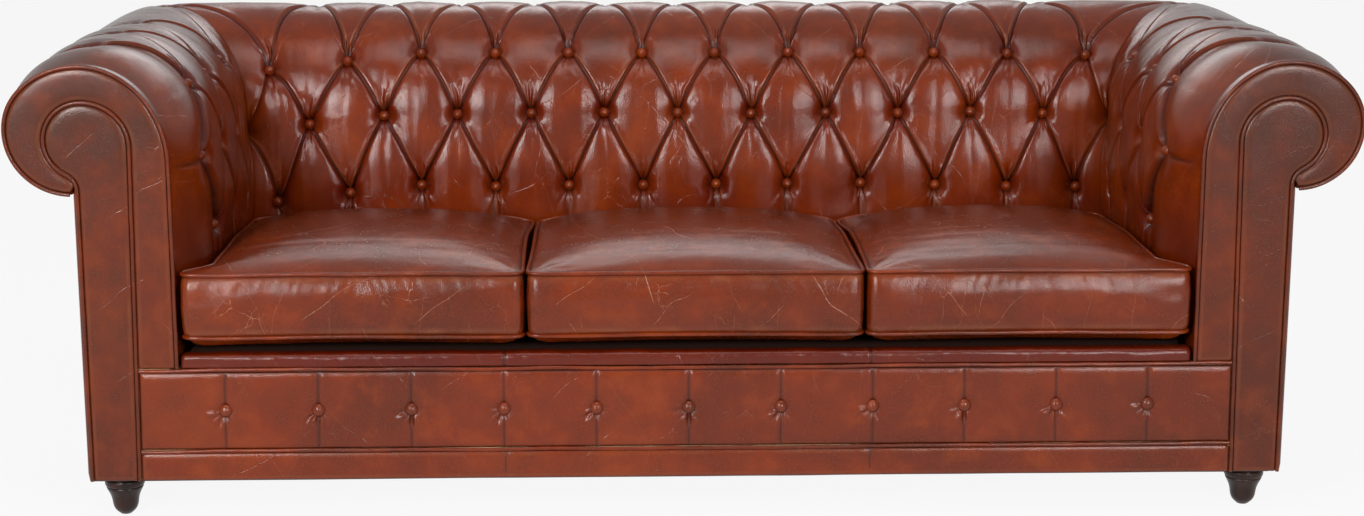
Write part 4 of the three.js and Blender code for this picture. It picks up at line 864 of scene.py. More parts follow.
def padMesh(name, along, girths, heights, place, diagonals, attributes, drooping=False):
    # a closed pad: the fine face, wrapped round a plainer inner face
    inner = np.linspace(endGirth, startGirth, quilt["innerSteps"])
    columns, rows = len(along), len(girths)
    driftAlong, driftGirth = drifted(along[:, None], girths[None, :], 11, drooping)
    driftAlong[0], driftAlong[-1] = along[0], along[-1]
    out, up, normalOut, normalUp = scrollAt(driftGirth)
    face = place(driftAlong, out + normalOut * heights, up + normalUp * heights)
    out, up, _, _ = scrollAt(np.broadcast_to(inner, (columns, len(inner))), quilt["wrap"])
    rear = place(np.broadcast_to(along[:, None], out.shape), out, up)
    ring = np.concatenate([face, rear], axis=1)
    count = ring.shape[1]
    index = np.arange(columns * count).reshape(columns, count)
    a, b = index[:-1, : rows - 1], index[1:, : rows - 1]
    c, d = index[1:, 1:rows], index[:-1, 1:rows]
    rising = np.stack([np.stack([a, b, c], -1), np.stack([a, c, d], -1)], -2)
    falling = np.stack([np.stack([a, b, d], -1), np.stack([b, c, d], -1)], -2)
    fine = np.where(diagonals[:, :, None, None], rising, falling).reshape(-1, 3)
    after = np.roll(index, -1, axis=1)
    a, b, c, d = index[:-1, rows - 1 :], index[1:, rows - 1 :], after[1:, rows - 1 :], after[:-1, rows - 1 :]
    plain = np.stack([a, b, c, d], -1).reshape(-1, 4)
    faces = fine.tolist() + plain.tolist() + [index[0].tolist(), index[-1][::-1].tolist()]
    mesh = makeMesh(name, ring.reshape(-1, 3), faces)
    for label, values in attributes.items():
        padded = np.zeros((columns, count, *values.shape[2:]))
        padded[:, :rows] = values
        setAttribute(mesh, label, padded)
    return mesh


def pleatDiagonals(across, rows):
    # True where a cell is cut from its lower left to its upper right corner
    half = np.floor((across[:-1] + across[1:]) + 1e-6).astype(int)
    band = np.clip(np.floor((rows[:-1] + rows[1:]) / 2 + 1e-6).astype(int), -2, 2)
    return (half[:, None] + band[None, :]) % 2 == 0


def knotPlaces(columns, pitch, first, heightAt, place, low, high, drooping=False):
    # where the buttons sit, and the way each faces
    places, facings = [], []
    for row in (-1, 0, 1):
        odd = row % 2
        for column in range(columns[0], columns[1] + 1):
            along = first + (column + 0.5 * odd) * pitch
            if along > high or along < low:
                continue
            girth = knotRows[row]
            height = heightAt(np.array([along]), np.array([float(row)]), np.array([girth]))
            along, girth = drifted(np.array([along]), np.array([girth]), 11, drooping)
            out, up, normalOut, normalUp = scrollAt(girth)
            seat = place(along, out + normalOut * height, up + normalUp * height)[0]
            foot = place(along, out, up)[0]
            facing = (seat - foot) / np.linalg.norm(seat - foot)
            places.append(seat + facing * button["lift"])
            facings.append(facing)
    return places, facings


button = {"radius": 0.0102, "dome": 0.0066, "lift": 0.0052}

backPad = {"halfColumns": 6, "seed": 21}
backPad["pitch"] = (scroll["innerFace"] - quilt["stand"]) / backPad["halfColumns"]


def backPlace(along, out, up):
    straight = backPad["pitch"] * (backPad["halfColumns"] - 1)
    past = np.clip((abs(along) - straight) / backPad["pitch"], 0, None)
    x = np.where(past > 0, np.sign(along) * mix(straight, scroll["innerFace"] + out, past), along)
    return np.stack([x, backDepth(out, up), up], -1)


def makeBackPad():
    pitch, half = backPad["pitch"], backPad["halfColumns"]
    girths, rows = rowStations()
    across = np.linspace(-half, half, 4 * half * quilt["cells"] + 1)
    grid = np.broadcast_arrays(across[:, None], rows[None, :], girths[None, :])
    height, marks = buttonedHeight(*grid, pitch, backPad["seed"])
    diagonals = pleatDiagonals(across, rows)
    mesh = padMesh("back_pad_leather", across * pitch, girths, height, backPlace, diagonals, marks, drooping=True)
    pad = makeObject("back_pad_leather", mesh, quiltLeather)
    faceOutwards(pad)
    dress(pad, frameBody, "leather", "back_pad")

    def heightAt(along, row, girth):
        return buttonedHeight(along / pitch, row, girth, pitch, backPad["seed"])[0] + quilt["creaseDepth"]

    reach = half * pitch + gap
    places, facings = knotPlaces((-half, half), pitch, 0.0, heightAt, backPlace, -reach, reach, drooping=True)
    made = buttons("back_buttons", places, facings, button["radius"], button["dome"])
    dress(made, frameBody, "leather")
    print("back pad:", len(mesh.polygons), "faces,", len(places), "buttons")


armPad = {
    "columns": 3,
    "first": 0.165,
    "frontFlat": 0.030,
    "frontSteps": 44,
    "frontSwell": 0.8,
    "standShare": 0.7,
    "front": 0.0067,
    "frontCrease": 0.0034,
    "seed": 47,
}
armPad["pitch"] = (scroll["backFace"] - scroll["front"] - armPad["first"]) / armPad["columns"]


def armPlace(side):
    pitch = armPad["pitch"]
    straight = armPad["first"] + pitch * (armPad["columns"] - 1)

    def place(along, out, up):
        past = np.clip((along - straight) / pitch, 0, None)
        mitre = backDepth(out, up) - scroll["front"] - 0.00042
        y = np.where(past > 0, mix(straight, mitre, past), along)
        return np.stack([side * (scroll["innerFace"] + out), scroll["front"] + y, up], -1)

    return place


def armQuiltStart(rows):
    # a zigzag from the first buttons, straight beyond the rows
    inside = np.clip(rows, -1, 2)
    return armPad["first"] + armPad["pitch"] / 2 * (1 - abs(1 - abs(inside)))


def armHeight(along, rows, girth):
    pitch, first = armPad["pitch"], armPad["first"]
    full, marks = buttonedHeight((along - first) / pitch, rows, girth, pitch, armPad["seed"])
    start = armQuiltStart(rows)
    reached = np.clip((along - armPad["frontFlat"]) / (start - armPad["frontFlat"]), 0, 1)
    pleat = quiltShare((start - first) / pitch, rows) * reached
    plain = armPad["frontSwell"] * np.sin(math.pi * reached) ** 0.9
    share = pleat + plain * (1 - pleat)
    # the smooth front: one crease runs level from the first button to the facing
    fromButton = abs(girth - buttonRow)
    level = np.exp(-((fromButton / 0.0042) ** 2)) * smoothStep(along, 0.02, 0.07)
    wide = np.exp(-((fromButton / 0.035) ** 2)) * smoothStep(reached, 0.15, 1.0)
    smooth = standAt(girth) * smoothStep(reached, 0, armPad["standShare"])
    smooth = smooth + swellAt(girth) * share * (1 - 0.5 * wide) - armPad["frontCrease"] * level
    smooth = smooth + 0.0009 * softNoise(along / 0.03, girth / 0.07, seed=armPad["seed"] + 5) * reached
    fold = np.exp(-(((start - along) / 0.0035) ** 2))
    smooth = smooth - quilt["creaseDepth"] * fold * smoothStep(girth, 0, quilt["tucked"]) * (abs(rows) <= 2)
    quilted = along >= start
    height = np.where(quilted, full, smooth)
    tuck = smoothStep(girth, 0, quilt["tucked"])
    # painted shade along the level crease and the first fold
    dark = np.maximum(0.75 * level, fold * (rows <= 2.6)) * tuck
    marks["painted_crease_shade"] = np.where(quilted, marks["painted_crease_shade"], dark)
    marks["wear_and_highlight"] = np.where(quilted, marks["wear_and_highlight"], 0.0)
    marks["folds"] = np.where(quilted, marks["folds"], 0.0)
    # painted shade over the arm's roll, darkest towards its top
    marks["patina_and_shade"] = np.clip(marks["patina_and_shade"] + 0.95 * smoothStep(rows, 0.9, 2.3), 0, 1)
    # painted shade over the lower part of the smooth front
    marks["hollow"] = np.where(quilted, marks["hollow"], 0.5 * smoothStep(-rows, 0.2, 1.2) * tuck)
    return height, marks


def makeArmPads():
    pitch, first = armPad["pitch"], armPad["first"]
    girths, rows = rowStations()
    front = np.linspace(armPad["front"], first, armPad["frontSteps"] + 1)[:-1]
    quilted = first + np.linspace(0, armPad["columns"], 2 * armPad["columns"] * quilt["cells"] + 1) * pitch
    along = np.concatenate([front, quilted])
    grid = np.broadcast_arrays(along[:, None], rows[None, :], girths[None, :])
    height, marks = armHeight(*grid)
    diagonals = pleatDiagonals((along - first) / pitch, rows)
    for label, side in sides.items():
        name = f"arm_pad_leather_{label}"
        mesh = padMesh(name, along, girths, height, armPlace(side), diagonals, marks)
        pad = makeObject(name, mesh, quiltLeather)
        faceOutwards(pad)
        dress(pad, frameBody, "leather", f"arm_pad_{label}")

        def heightAt(place, row, girth):
            return armHeight(place, row, girth)[0] + quilt["creaseDepth"]

        places, facings = knotPlaces((0, armPad["columns"] - 1), pitch, first, heightAt, armPlace(side), 0, 1)
        made = buttons(f"arm_buttons_{label}", places, facings, button["radius"], button["dome"], seed=9)
        dress(made, frameBody, "leather")
    print("arm pads:", len(mesh.polygons), "faces each")


makeBackPad()
makeArmPads()


# Flat leather panels: an outline filled with fine triangles, puffed between its edges

def along(points, spacing, closed=False):
    # the same line with points at an even spacing
    points = np.asarray(points, float)
    if closed:
        points = np.vstack([points, points[:1]])
    lengths = np.concatenate([[0], np.cumsum(np.linalg.norm(np.diff(points, axis=0), axis=1))])
    count = max(2, int(round(lengths[-1] / spacing)) + 1)
    marks = np.linspace(0, lengths[-1], count)
    line = np.stack([np.interp(marks, lengths, points[:, axis]) for axis in range(points.shape[1])], 1)
    return line[:-1] if closed else line


def shifted(line, distance, closed=False):
    # moves a flat line sideways, to its left
    line = np.asarray(line, float)
    if closed:
        before, after = np.roll(line, 1, axis=0), np.roll(line, -1, axis=0)
    else:
        before, after = np.vstack([line[:1], line[:-1]]), np.vstack([line[1:], line[-1:]])
    tangent = after - before
    tangent /= np.linalg.norm(tangent, axis=1)[:, None]
    return line + distance * np.stack([-tangent[:, 1], tangent[:, 0]], 1)


def outlineDistance(points, outline):
    starts, ends = outline, np.roll(outline, -1, axis=0)
    leg = ends - starts
    best = np.full(len(points), 1e9)
    for start, way in zip(starts, leg):
        share = np.clip(((points - start) @ way) / max(way @ way, 1e-12), 0, 1)
        best = np.minimum(best, np.linalg.norm(points - start - share[:, None] * way, axis=1))
    return best


def insideOutline(points, outline):
    x, y = points[:, 0], points[:, 1]
    inside = np.zeros(len(points), bool)
    for (x0, y0), (x1, y1) in zip(outline, np.roll(outline, -1, axis=0)):
        crosses = (y0 > y) != (y1 > y)
        inside ^= crosses & (x < (x1 - x0) * (y - y0) / (y1 - y0 + 1e-15) + x0)
    return inside


panel = {"spacing": 0.007, "edge": 0.0034, "rings": (0.0012, 0.0028, 0.0052, 0.0090), "wave": 0.0005}


def filled(outline, spacing, extra=None, holes=()):
    # flat points and triangles inside an outline, with rings that follow its edge
    outline = np.asarray(outline, float)
    area = np.sum(outline[:, 0] * np.roll(outline[:, 1], -1) - np.roll(outline[:, 0], -1) * outline[:, 1])
    if area < 0:
        outline = outline[::-1]
    loops = [outline, *[np.asarray(hole, float) for hole in holes]]
    low, high = outline.min(0), outline.max(0)
    xs = np.arange(low[0] + spacing / 2, high[0], spacing)
    ys = np.arange(low[1] + spacing / 2, high[1], spacing * 0.866)
    grid = np.array([(x + (j % 2) * spacing / 2, y) for j, y in enumerate(ys) for x in xs])
    if extra is not None:
        grid = np.vstack([grid, extra])
    far = np.min([outlineDistance(grid, loop) for loop in loops], axis=0)
    keep = insideOutline(grid, outline) & (far > panel["rings"][-1] * 1.25)
    for hole in loops[1:]:
        keep &= ~insideOutline(grid, hole)
    inner = [grid[keep]]
    for depth in panel["rings"]:
        ring = shifted(outline, depth, closed=True)
        clear = (outlineDistance(ring, outline) > depth * 0.93) & insideOutline(ring, outline)
        inner.append(ring[clear])
    points, edges, first = [], [], 0
    for loop in loops:
        points += loop.tolist()
        edges += [(first + i, first + (i + 1) % len(loop)) for i in range(len(loop))]
        first += len(loop)
    points += np.vstack(inner).tolist()
    made = delaunay_2d_cdt([Vector(p) for p in points], edges, [], 1, 1e-6)
    flat = np.array([tuple(p) for p in made[0]])
    faces = np.array([list(f) for f in made[2]])
    centres = flat[faces].mean(1)
    keep = insideOutline(centres, outline)
    for hole in loops[1:]:
        keep &= ~insideOutline(centres, hole)
    return flat, faces[keep], outline


def closeBehind(obj, axis, level):
    # gives an open sheet a wall back to a flat rear face
    shape = bmesh.new()
    shape.from_mesh(obj.data)
    rim = [e for e in shape.edges if e.is_boundary]
    made = bmesh.ops.extrude_edge_only(shape, edges=rim)
    for v in made["geom"]:
        if isinstance(v, bmesh.types.BMVert):
            v.co[axis] = level
    rear = [e for e in shape.edges if e.is_boundary]
    bmesh.ops.edgeloop_fill(shape, edges=rear)
    bmesh.ops.recalc_face_normals(shape, faces=shape.faces)
    shape.to_mesh(obj.data)
    shape.free()
    for polygon in obj.data.polygons:
        polygon.use_smooth = len(polygon.vertices) < 5


def puffedPanel(name, outline, place, rear, puff, material, relief=None, spacing=None, extra=None, seed=1, patina_and_shade=None):
    # place puts flat points at a height over the panel's seam line; rear is (axis, level)
    flat, faces, outline = filled(outline, spacing or panel["spacing"], extra)
    far = outlineDistance(flat, outline)
    height = puff * (1 - np.exp(-far / panel["edge"]))
    height = height + panel["wave"] * softNoise(flat[:, 0] / 0.07, flat[:, 1] / 0.07, seed=seed) * smoothStep(far, 0, 0.02)
    # painted shade along the panel's edge, and along any seams the relief gives
    painted_crease_shade = 0.6 * np.exp(-((far / 0.0010) ** 2))
    if relief:
        change, dark = relief(flat[:, 0], flat[:, 1])
        height, painted_crease_shade = height + change, np.maximum(painted_crease_shade, dark)
    mesh = makeMesh(name, place(flat[:, 0], flat[:, 1], height), faces)
    setAttribute(mesh, "painted_crease_shade", painted_crease_shade)
    # a lighter band just inside the edge: wear, partly a painted highlight
    wear_and_highlight = 0.30 * np.exp(-(((far - 0.0045) / 0.0022) ** 2)) * (0.6 + 0.4 * softNoise(flat[:, 0] / 0.03, flat[:, 1] / 0.03, seed=seed))
    setAttribute(mesh, "wear_and_highlight", wear_and_highlight)
    if patina_and_shade:
        setAttribute(mesh, "patina_and_shade", patina_and_shade(flat[:, 1]))
    obj = makeObject(name, mesh, material)
    closeBehind(obj, *rear)
    return obj


# Fronts of the arms

facing = {
    "thick": 0.0064,
    "cord": 0.0032,
    "seamOut": 0.061,
    "flare": 0.008,
    "drop": 0.130,
    "crestOut": 0.136,
    "radius": 0.062,
    "rise": 0.010,
    "neckTurn": 62.0,
    "foot": 0.070,
    "bandPuff": 0.0030,
    "panelPuff": 0.0034,
}


def arc(centre, radii, start, end, count):
    turns = np.radians(np.linspace(start, end, count + 1))
    return np.stack([centre[0] + radii[0] * np.cos(turns), centre[1] + radii[1] * np.sin(turns)], 1)


def facingSeam(bottom):
    # round the inner panel, from its foot at the seat side to its foot at the outside
    edge = scroll["post"] - 2 * facing["cord"]
    centre = (facing["crestOut"], scroll["crest"] - facing["drop"] + facing["rise"])
    turn = math.radians(facing["neckTurn"])
    neck = np.array([centre[0] + facing["radius"] * math.cos(turn), centre[1] - facing["radius"] * math.sin(turn)])
    level = neck[1] - (neck[0] - edge) / math.tan(turn)
    bend = [neck, (edge, level), (edge, level - (neck[0] - edge))]
    shares = np.linspace(0, 1, 9)[1:, None]
    curve = (1 - shares) ** 2 * bend[0] + 2 * shares * (1 - shares) * np.array(bend[1]) + shares**2 * np.array(bend[2])
    shoulder = (facing["crestOut"], scroll["crest"] - facing["drop"])
    radii = (facing["crestOut"] - facing["seamOut"], facing["radius"] + facing["rise"])
    return np.vstack([
        [(facing["seamOut"] + facing["flare"], bottom)],
        arc(shoulder, radii, 180, 90, 16),
        arc(centre, (facing["radius"],) * 2, 90, -facing["neckTurn"], 28)[1:],
        curve,
        [(edge, bottom)],
    ])


def scrollOutline(start, end, inset, spacing=0.005):
    out, up, _, _ = scrollAt(np.linspace(start, end, int((end - start) / spacing)), inset)
    return np.stack([out, up], 1)


def makeFacings():
    front, cordRadius = scroll["front"], facing["cord"]
    seam = along(facingSeam(facing["foot"]), 0.004)
    channel = cordRadius + gap
    edgeLine = scrollOutline(startGirth, endGirth - cordRadius, 0)
    inner = shifted(seam, channel)
    bandInner = inner[inner[:, 1] > scroll["base"] + cordRadius]
    firstDown = np.argmax(bandInner[:, 1])
    post = scroll["post"] - 2 * cordRadius + channel + gap
    tail = np.where((np.arange(len(bandInner)) > firstDown) & (bandInner[:, 0] < post) & (bandInner[:, 1] < 0.58))[0]
    bandInner = bandInner[: tail[0]] if len(tail) else bandInner
    bandLine = np.vstack([scrollOutline(startGirth, endGirth - cordRadius, cordRadius + gap), bandInner[::-1]])
    bottomLevel = facing["foot"] + gap
    panelLine = shifted(seam, -channel)
    panelLine[:, 1] = np.maximum(panelLine[:, 1], bottomLevel)
    panelLine = along(panelLine, 0.005, closed=True)
    for label, side in sides.items():

        def place(out, up, height):
            return np.stack([side * (scroll["innerFace"] + out), front + 0.0036 - height, up], -1)

        rear = (1, front + facing["thick"])
        seed = 60 + side

        # a darker tone all over, and painted shade that deepens towards the top
        def patina_and_shade(up):
            return 0.46 + 0.46 * smoothStep(up, 0.38, 0.72)

        band = puffedPanel(f"arm_facing_band_leather_{label}", along(bandLine, 0.005, closed=True), place, rear,
                           facing["bandPuff"], panelLeather, seed=seed, patina_and_shade=patina_and_shade)
        dress(band, frameBody, "leather", f"arm_facing_band_{label}")
        stile = puffedPanel(f"arm_facing_panel_leather_{label}", panelLine, place, rear,
                            facing["panelPuff"], panelLeather, seed=seed + 5, patina_and_shade=lambda up: 0.08 + patina_and_shade(up))
        dress(stile, frameBody, "leather", f"arm_facing_panel_{label}")

        def cordLine(line):
            line = np.asarray(line)
            wobble = 0.00035 * softNoise(line[:, 0] / 0.035, line[:, 1] / 0.035, seed=seed)
            return np.stack([side * (scroll["innerFace"] + line[:, 0] + wobble), np.full(len(line), front + cordRadius), line[:, 1]], 1)

        for name, line, node in (("facing", seam, "arm_facing_piping"), ("edge", edgeLine, "arm_edge_piping")):
            made = cord(f"arm_{name}_cord_{label}", [cordLine(line)], cordRadius)
            # the cords darkened all along, as the facings are
            setAttribute(made.data, "patina_and_shade", np.full(len(made.data.vertices), 0.55))
            dress(made, frameBody, "piping_leather", f"{node}_{label}")
    print("arm facings ready")


# Front: buttoned border, base band, lip and their pipings

border = {
    "top": 0.258,
    "bottom": 0.120,
    "buttons": 11,
    "pitches": 11.9,
    "seamDepth": 0.0026,
    "seamWidth": 0.0040,
    "puff": 0.0044,
    "edge": 0.0052,
    "dimple": 0.0044,
    "dimpleReach": 0.013,
    "pucker": 0.0017,
    "buttonRadius": 0.0112,
    "buttonDome": 0.0046,
}
border["pitch"] = 2 * (scroll["innerFace"] + facing["seamOut"] + facing["flare"]) / border["pitches"]
bandSeams = (-0.304, 0.302)  # upright joins in the lip and in the base band


def borderHalfWidth(up):
    shoulder = scroll["crest"] - facing["drop"]
    flare = facing["flare"] * (shoulder - up) / (shoulder - facing["foot"])
    return scroll["innerFace"] + facing["seamOut"] + flare - facing["cord"] - 2 * gap


def borderTree(name, material):
    # a flat grid pressed into a row of buttons, with an upright seam through each
    sizes = {
        "Width": 1.8, "Height": 0.14, "Spread": 0.004, "Pitch": 0.15, "Last button": 5.0, "Seam depth": 0.0026,
        "Seam width": 0.004, "Puff": 0.003, "Edge": 0.007, "Dimple": 0.004, "Dimple reach": 0.014, "Pucker": 0.001,
        "Columns": 900, "Rows": 72,
    }
    tree, given = nodeTree(name, sizes)

    def do(operation, a, b=0.0, clamp=False):
        return math2(tree, operation, a, b, clamp)

    def bell(distance, width):
        ratio = do("DIVIDE", distance, width)
        return do("EXPONENT", do("MULTIPLY", do("MULTIPLY", ratio, ratio), -1.0))

    sheet = addNode(tree, "GeometryNodeMeshGrid", {
        "Size X": given["Width"], "Size Y": given["Height"], "Vertices X": given["Columns"], "Vertices Y": given["Rows"],
    }).outputs[0]
    place = addNode(tree, "GeometryNodeInputPosition").outputs[0]
    apart = addNode(tree, "ShaderNodeSeparateXYZ", {0: place}).outputs
    x, up = apart["X"], apart["Y"]
    nearest = do("ROUND", do("DIVIDE", x, given["Pitch"]))
    nearest = do("MAXIMUM", do("MINIMUM", nearest, given["Last button"]), do("MULTIPLY", given["Last button"], -1.0))
    aside = do("SUBTRACT", x, do("MULTIPLY", nearest, given["Pitch"]))
    fromSeam = do("ABSOLUTE", aside)
    far = do("SQRT", do("ADD", do("MULTIPLY", aside, aside), do("MULTIPLY", up, up)))
    halfHeight = do("MULTIPLY", given["Height"], 0.5)
    halfWidth = do("MULTIPLY", given["Width"], 0.5)
    fromEdge = do("MINIMUM", do("SUBTRACT", halfHeight, do("ABSOLUTE", up)), do("SUBTRACT", halfWidth, do("ABSOLUTE", x)))
    edge = do("EXPONENT", do("DIVIDE", do("MULTIPLY", fromEdge, -1.0), given["Edge"]))
    height = do("MULTIPLY", given["Puff"], do("SUBTRACT", 1.0, edge))
    inside = do("SUBTRACT", 1.0, edge)
    seam = do("MULTIPLY", bell(fromSeam, given["Seam width"]), inside)
    height = do("SUBTRACT", height, do("MULTIPLY", seam, given["Seam depth"]))
    line = do("MULTIPLY", bell(fromSeam, do("MULTIPLY", given["Seam width"], 0.35)), inside)
    height = do("SUBTRACT", height, do("MULTIPLY", line, do("MULTIPLY", given["Seam depth"], 0.55)))
    press = bell(far, given["Dimple reach"])
    height = do("SUBTRACT", height, do("MULTIPLY", press, given["Dimple"]))
    # creases round each button, a little different at every one
    turn = do("ARCTAN2", up, aside)
    uneven = do("MULTIPLY", nearest, 1.9)
    rays = do("ADD", do("SINE", do("ADD", do("MULTIPLY", turn, 5.0), uneven)),
              do("SINE", do("ADD", do("MULTIPLY", turn, 9.0), do("MULTIPLY", uneven, 2.3))))
    ringed = bell(do("SUBTRACT", far, do("MULTIPLY", given["Dimple reach"], 1.2)), do("MULTIPLY", given["Dimple reach"], 0.95))
    # the thread pulls hardest towards the lower left
    pulled = do("SUBTRACT", -0.15, do("MULTIPLY", do("ADD", aside, do("MULTIPLY", up, 1.6)), 36.0), clamp=True)
    height = do("ADD", height, do("MULTIPLY", do("MULTIPLY", do("MULTIPLY", rays, ringed), pulled), given["Pucker"]))
    waves = addNode(tree, "ShaderNodeTexNoise", {"Vector": place, "Scale": 13.0, "Detail": 2.0}).outputs["Fac"]
    height = do("ADD", height, do("MULTIPLY", do("SUBTRACT", waves, 0.5), 0.0022))
    height = do("MAXIMUM", height, -0.0018)
    # the panel widens towards the floor with the facing seams
    wider = do("ADD", 1.0, do("MULTIPLY", do("DIVIDE", up, given["Height"]), do("DIVIDE", do("MULTIPLY", given["Spread"], -2.0), given["Width"])))
    moved = addNode(tree, "ShaderNodeCombineXYZ", {
        0: do("MULTIPLY", x, wider), 1: do("MULTIPLY", height, -1.0), 2: up,
    }).outputs[0]
    # painted shade along the seams and edges and in each button's dimple
    painted_crease_shade_mask = do("MAXIMUM", bell(fromSeam, 0.0016), bell(fromEdge, 0.0022))
    painted_crease_shade_mask = do("MAXIMUM", painted_crease_shade_mask, do("MULTIPLY", bell(far, given["Dimple reach"]), 0.75))
    stored = addNode(tree, "GeometryNodeStoreNamedAttribute", {"Geometry": sheet, "Name": "painted_crease_shade", "Value": painted_crease_shade_mask},
                     data_type="FLOAT", domain="POINT").outputs[0]
    pressed = addNode(tree, "GeometryNodeSetPosition", {"Geometry": stored, "Position": moved}).outputs[0]
    endTree(tree, pressed, material)
    return tree


def makeBorder():
    low = border["bottom"] + facing["cord"] + gap
    high = border["top"] - facing["cord"] - gap
    middle = (low + high) / 2
    sheet = lineObject("front_border_leather", [[(0, 0, 0)]])
    widths = [borderHalfWidth(level) for level in (low, high)]
    values = {
        "Width": 2 * sum(widths) / 2, "Height": high - low, "Spread": widths[0] - widths[1], "Pitch": border["pitch"],
        "Last button": float((border["buttons"] - 1) // 2), "Seam depth": border["seamDepth"],
        "Seam width": border["seamWidth"], "Puff": border["puff"], "Edge": border["edge"], "Dimple": border["dimple"],
        "Dimple reach": border["dimpleReach"], "Pucker": border["pucker"],
    }
    obj = grown(sheet, borderTree("buttoned_border", panelLeather), values)
    obj.data.transform(Matrix.Translation((0, scroll["front"] + 0.0042, middle)))
    closeBehind(obj, 1, scroll["front"] + facing["thick"])
    dress(obj, frameBody, "leather", "front_border_panel")
    half = (border["buttons"] - 1) // 2
    places = [(k * border["pitch"], scroll["front"] + 0.0030, middle) for k in range(-half, half + 1)]
    facings = [(0, -1, 0)] * len(places)
    made = buttons("border_buttons", places, facings, border["buttonRadius"], border["buttonDome"], tilt=0.05, seed=2)
    dress(made, frameBody, "leather")

    def place(x, up, height):
        return np.stack([x, scroll["front"] + 0.0040 - height, up], -1)

    def joined(x, up):
        near = np.min([abs(x - at) for at in bandSeams], axis=0)
        # a groove at each join, with painted shade along it
        return -0.0016 * np.exp(-((near / 0.0016) ** 2)), 0.9 * np.exp(-((near / 0.0013) ** 2))

    top = border["bottom"] - facing["cord"] - gap
    bottom = facing["foot"] + gap
    outline = [(-borderHalfWidth(bottom), bottom), (borderHalfWidth(bottom), bottom),
               (borderHalfWidth(top), top), (-borderHalfWidth(top), top)]
    near = np.array([(x + dx, z) for x in bandSeams for dx in (-0.0032, -0.0016, 0, 0.0016, 0.0032)
                     for z in np.linspace(bottom + 0.012, top - 0.012, 8)])
    band = puffedPanel("front_base_band_leather", along(outline, 0.006, closed=True), place,
                       (1, scroll["front"] + facing["thick"]), 0.0032, panelLeather, joined, extra=near, seed=71)
    dress(band, frameBody, "leather", "front_base_band")

    for label, level in (("upper", border["top"]), ("lower", border["bottom"])):
        x = np.arange(-borderHalfWidth(level), borderHalfWidth(level) + 0.004, 0.008)
        x[-1] = borderHalfWidth(level)
        sag = 0.0011 * softNoise(x / 0.11, 0.0, seed=81 + len(label)) + 0.0004 * softNoise(x / 0.03, 0.0, seed=83)
        line = np.stack([x, np.full(len(x), scroll["front"] + facing["cord"]), level + sag], 1)
        made = cord(f"front_cord_{label}", [line], facing["cord"])
        dress(made, frameBody, "piping_leather", f"front_piping_{label}")
    print("front border ready")


lip = {"depth": 0.033, "round": 0.0095, "face": 0.0024, "steps": 560}


def makeLip():
    low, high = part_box("front_lip")
    front, bottom, top = low.y, low.z, high.z
    rear = front - lip["face"] + lip["depth"]
    radius = lip["round"]
    section = np.vstack([
        [(rear, bottom), (front + 0.002, bottom)],
        np.stack([np.full(6, front), np.linspace(bottom + 0.002, top - radius, 6)], 1)[:-1],
        arc((front + radius, top - radius), (radius, radius), 180, 90, 7),
        [(front + 0.5 * lip["depth"], top + 0.0006), (rear - 0.004, top)],
        arc((rear - 0.004, top - 0.004), (0.004, 0.004), 90, 0, 3)[1:],
    ])
    x = np.linspace(low.x, high.x, lip["steps"])
    for at in bandSeams:
        x[np.argmin(abs(x - at))] = at
    near = np.min([abs(x - at) for at in bandSeams], axis=0)
    centre = np.array([(front + rear) / 2, (bottom + top) / 2])
    away = section - centre
    away = away / np.linalg.norm(away, axis=1)[:, None]
    fixed = (section[:, 1] < bottom + 0.001) | (section[:, 0] > rear - 0.001)
    rows = np.arange(len(section))
    wave = 0.0008 * softNoise(x[:, None] / 0.05, rows[None, :] / 5, seed=91)
    wave = wave + 0.0004 * softNoise(x[:, None] / 0.012, rows[None, :] / 9, seed=92)
    wave = wave - 0.0020 * np.exp(-((near / 0.0022) ** 2))[:, None]
    ends = smoothStep(np.minimum(x - low.x, high.x - x), 0, 0.006)
    shrink = (wave - 0.003 * (1 - ends)[:, None]) * ~fixed
    flat = section[None] + away[None] * shrink[..., None]
    points = np.concatenate([np.broadcast_to(x[:, None, None], (len(x), len(section), 1)), flat], -1)
    index = np.arange(len(x) * len(section)).reshape(len(x), len(section))
    after = np.roll(index, -1, axis=1)
    faces = np.stack([index[:-1], after[:-1], after[1:], index[1:]], -1).reshape(-1, 4).tolist()
    faces += [index[0].tolist(), index[-1][::-1].tolist()]
    mesh = makeMesh("front_lip_leather", points.reshape(-1, 3), faces)
    # painted shade along the upright joins
    setAttribute(mesh, "painted_crease_shade", np.repeat(0.9 * np.exp(-((near / 0.0016) ** 2)), len(section)))
    # painted shade over the whole lip, which lies in the shadow of the cushions
    setAttribute(mesh, "hollow", np.full(len(mesh.vertices), 0.75))
    obj = makeObject("front_lip_leather", mesh, panelLeather)
    faceOutwards(obj)
    dress(obj, frameBody, "leather", "front_lip")
    print("front lip ready")


# Outside panels, seat platform and dust cover

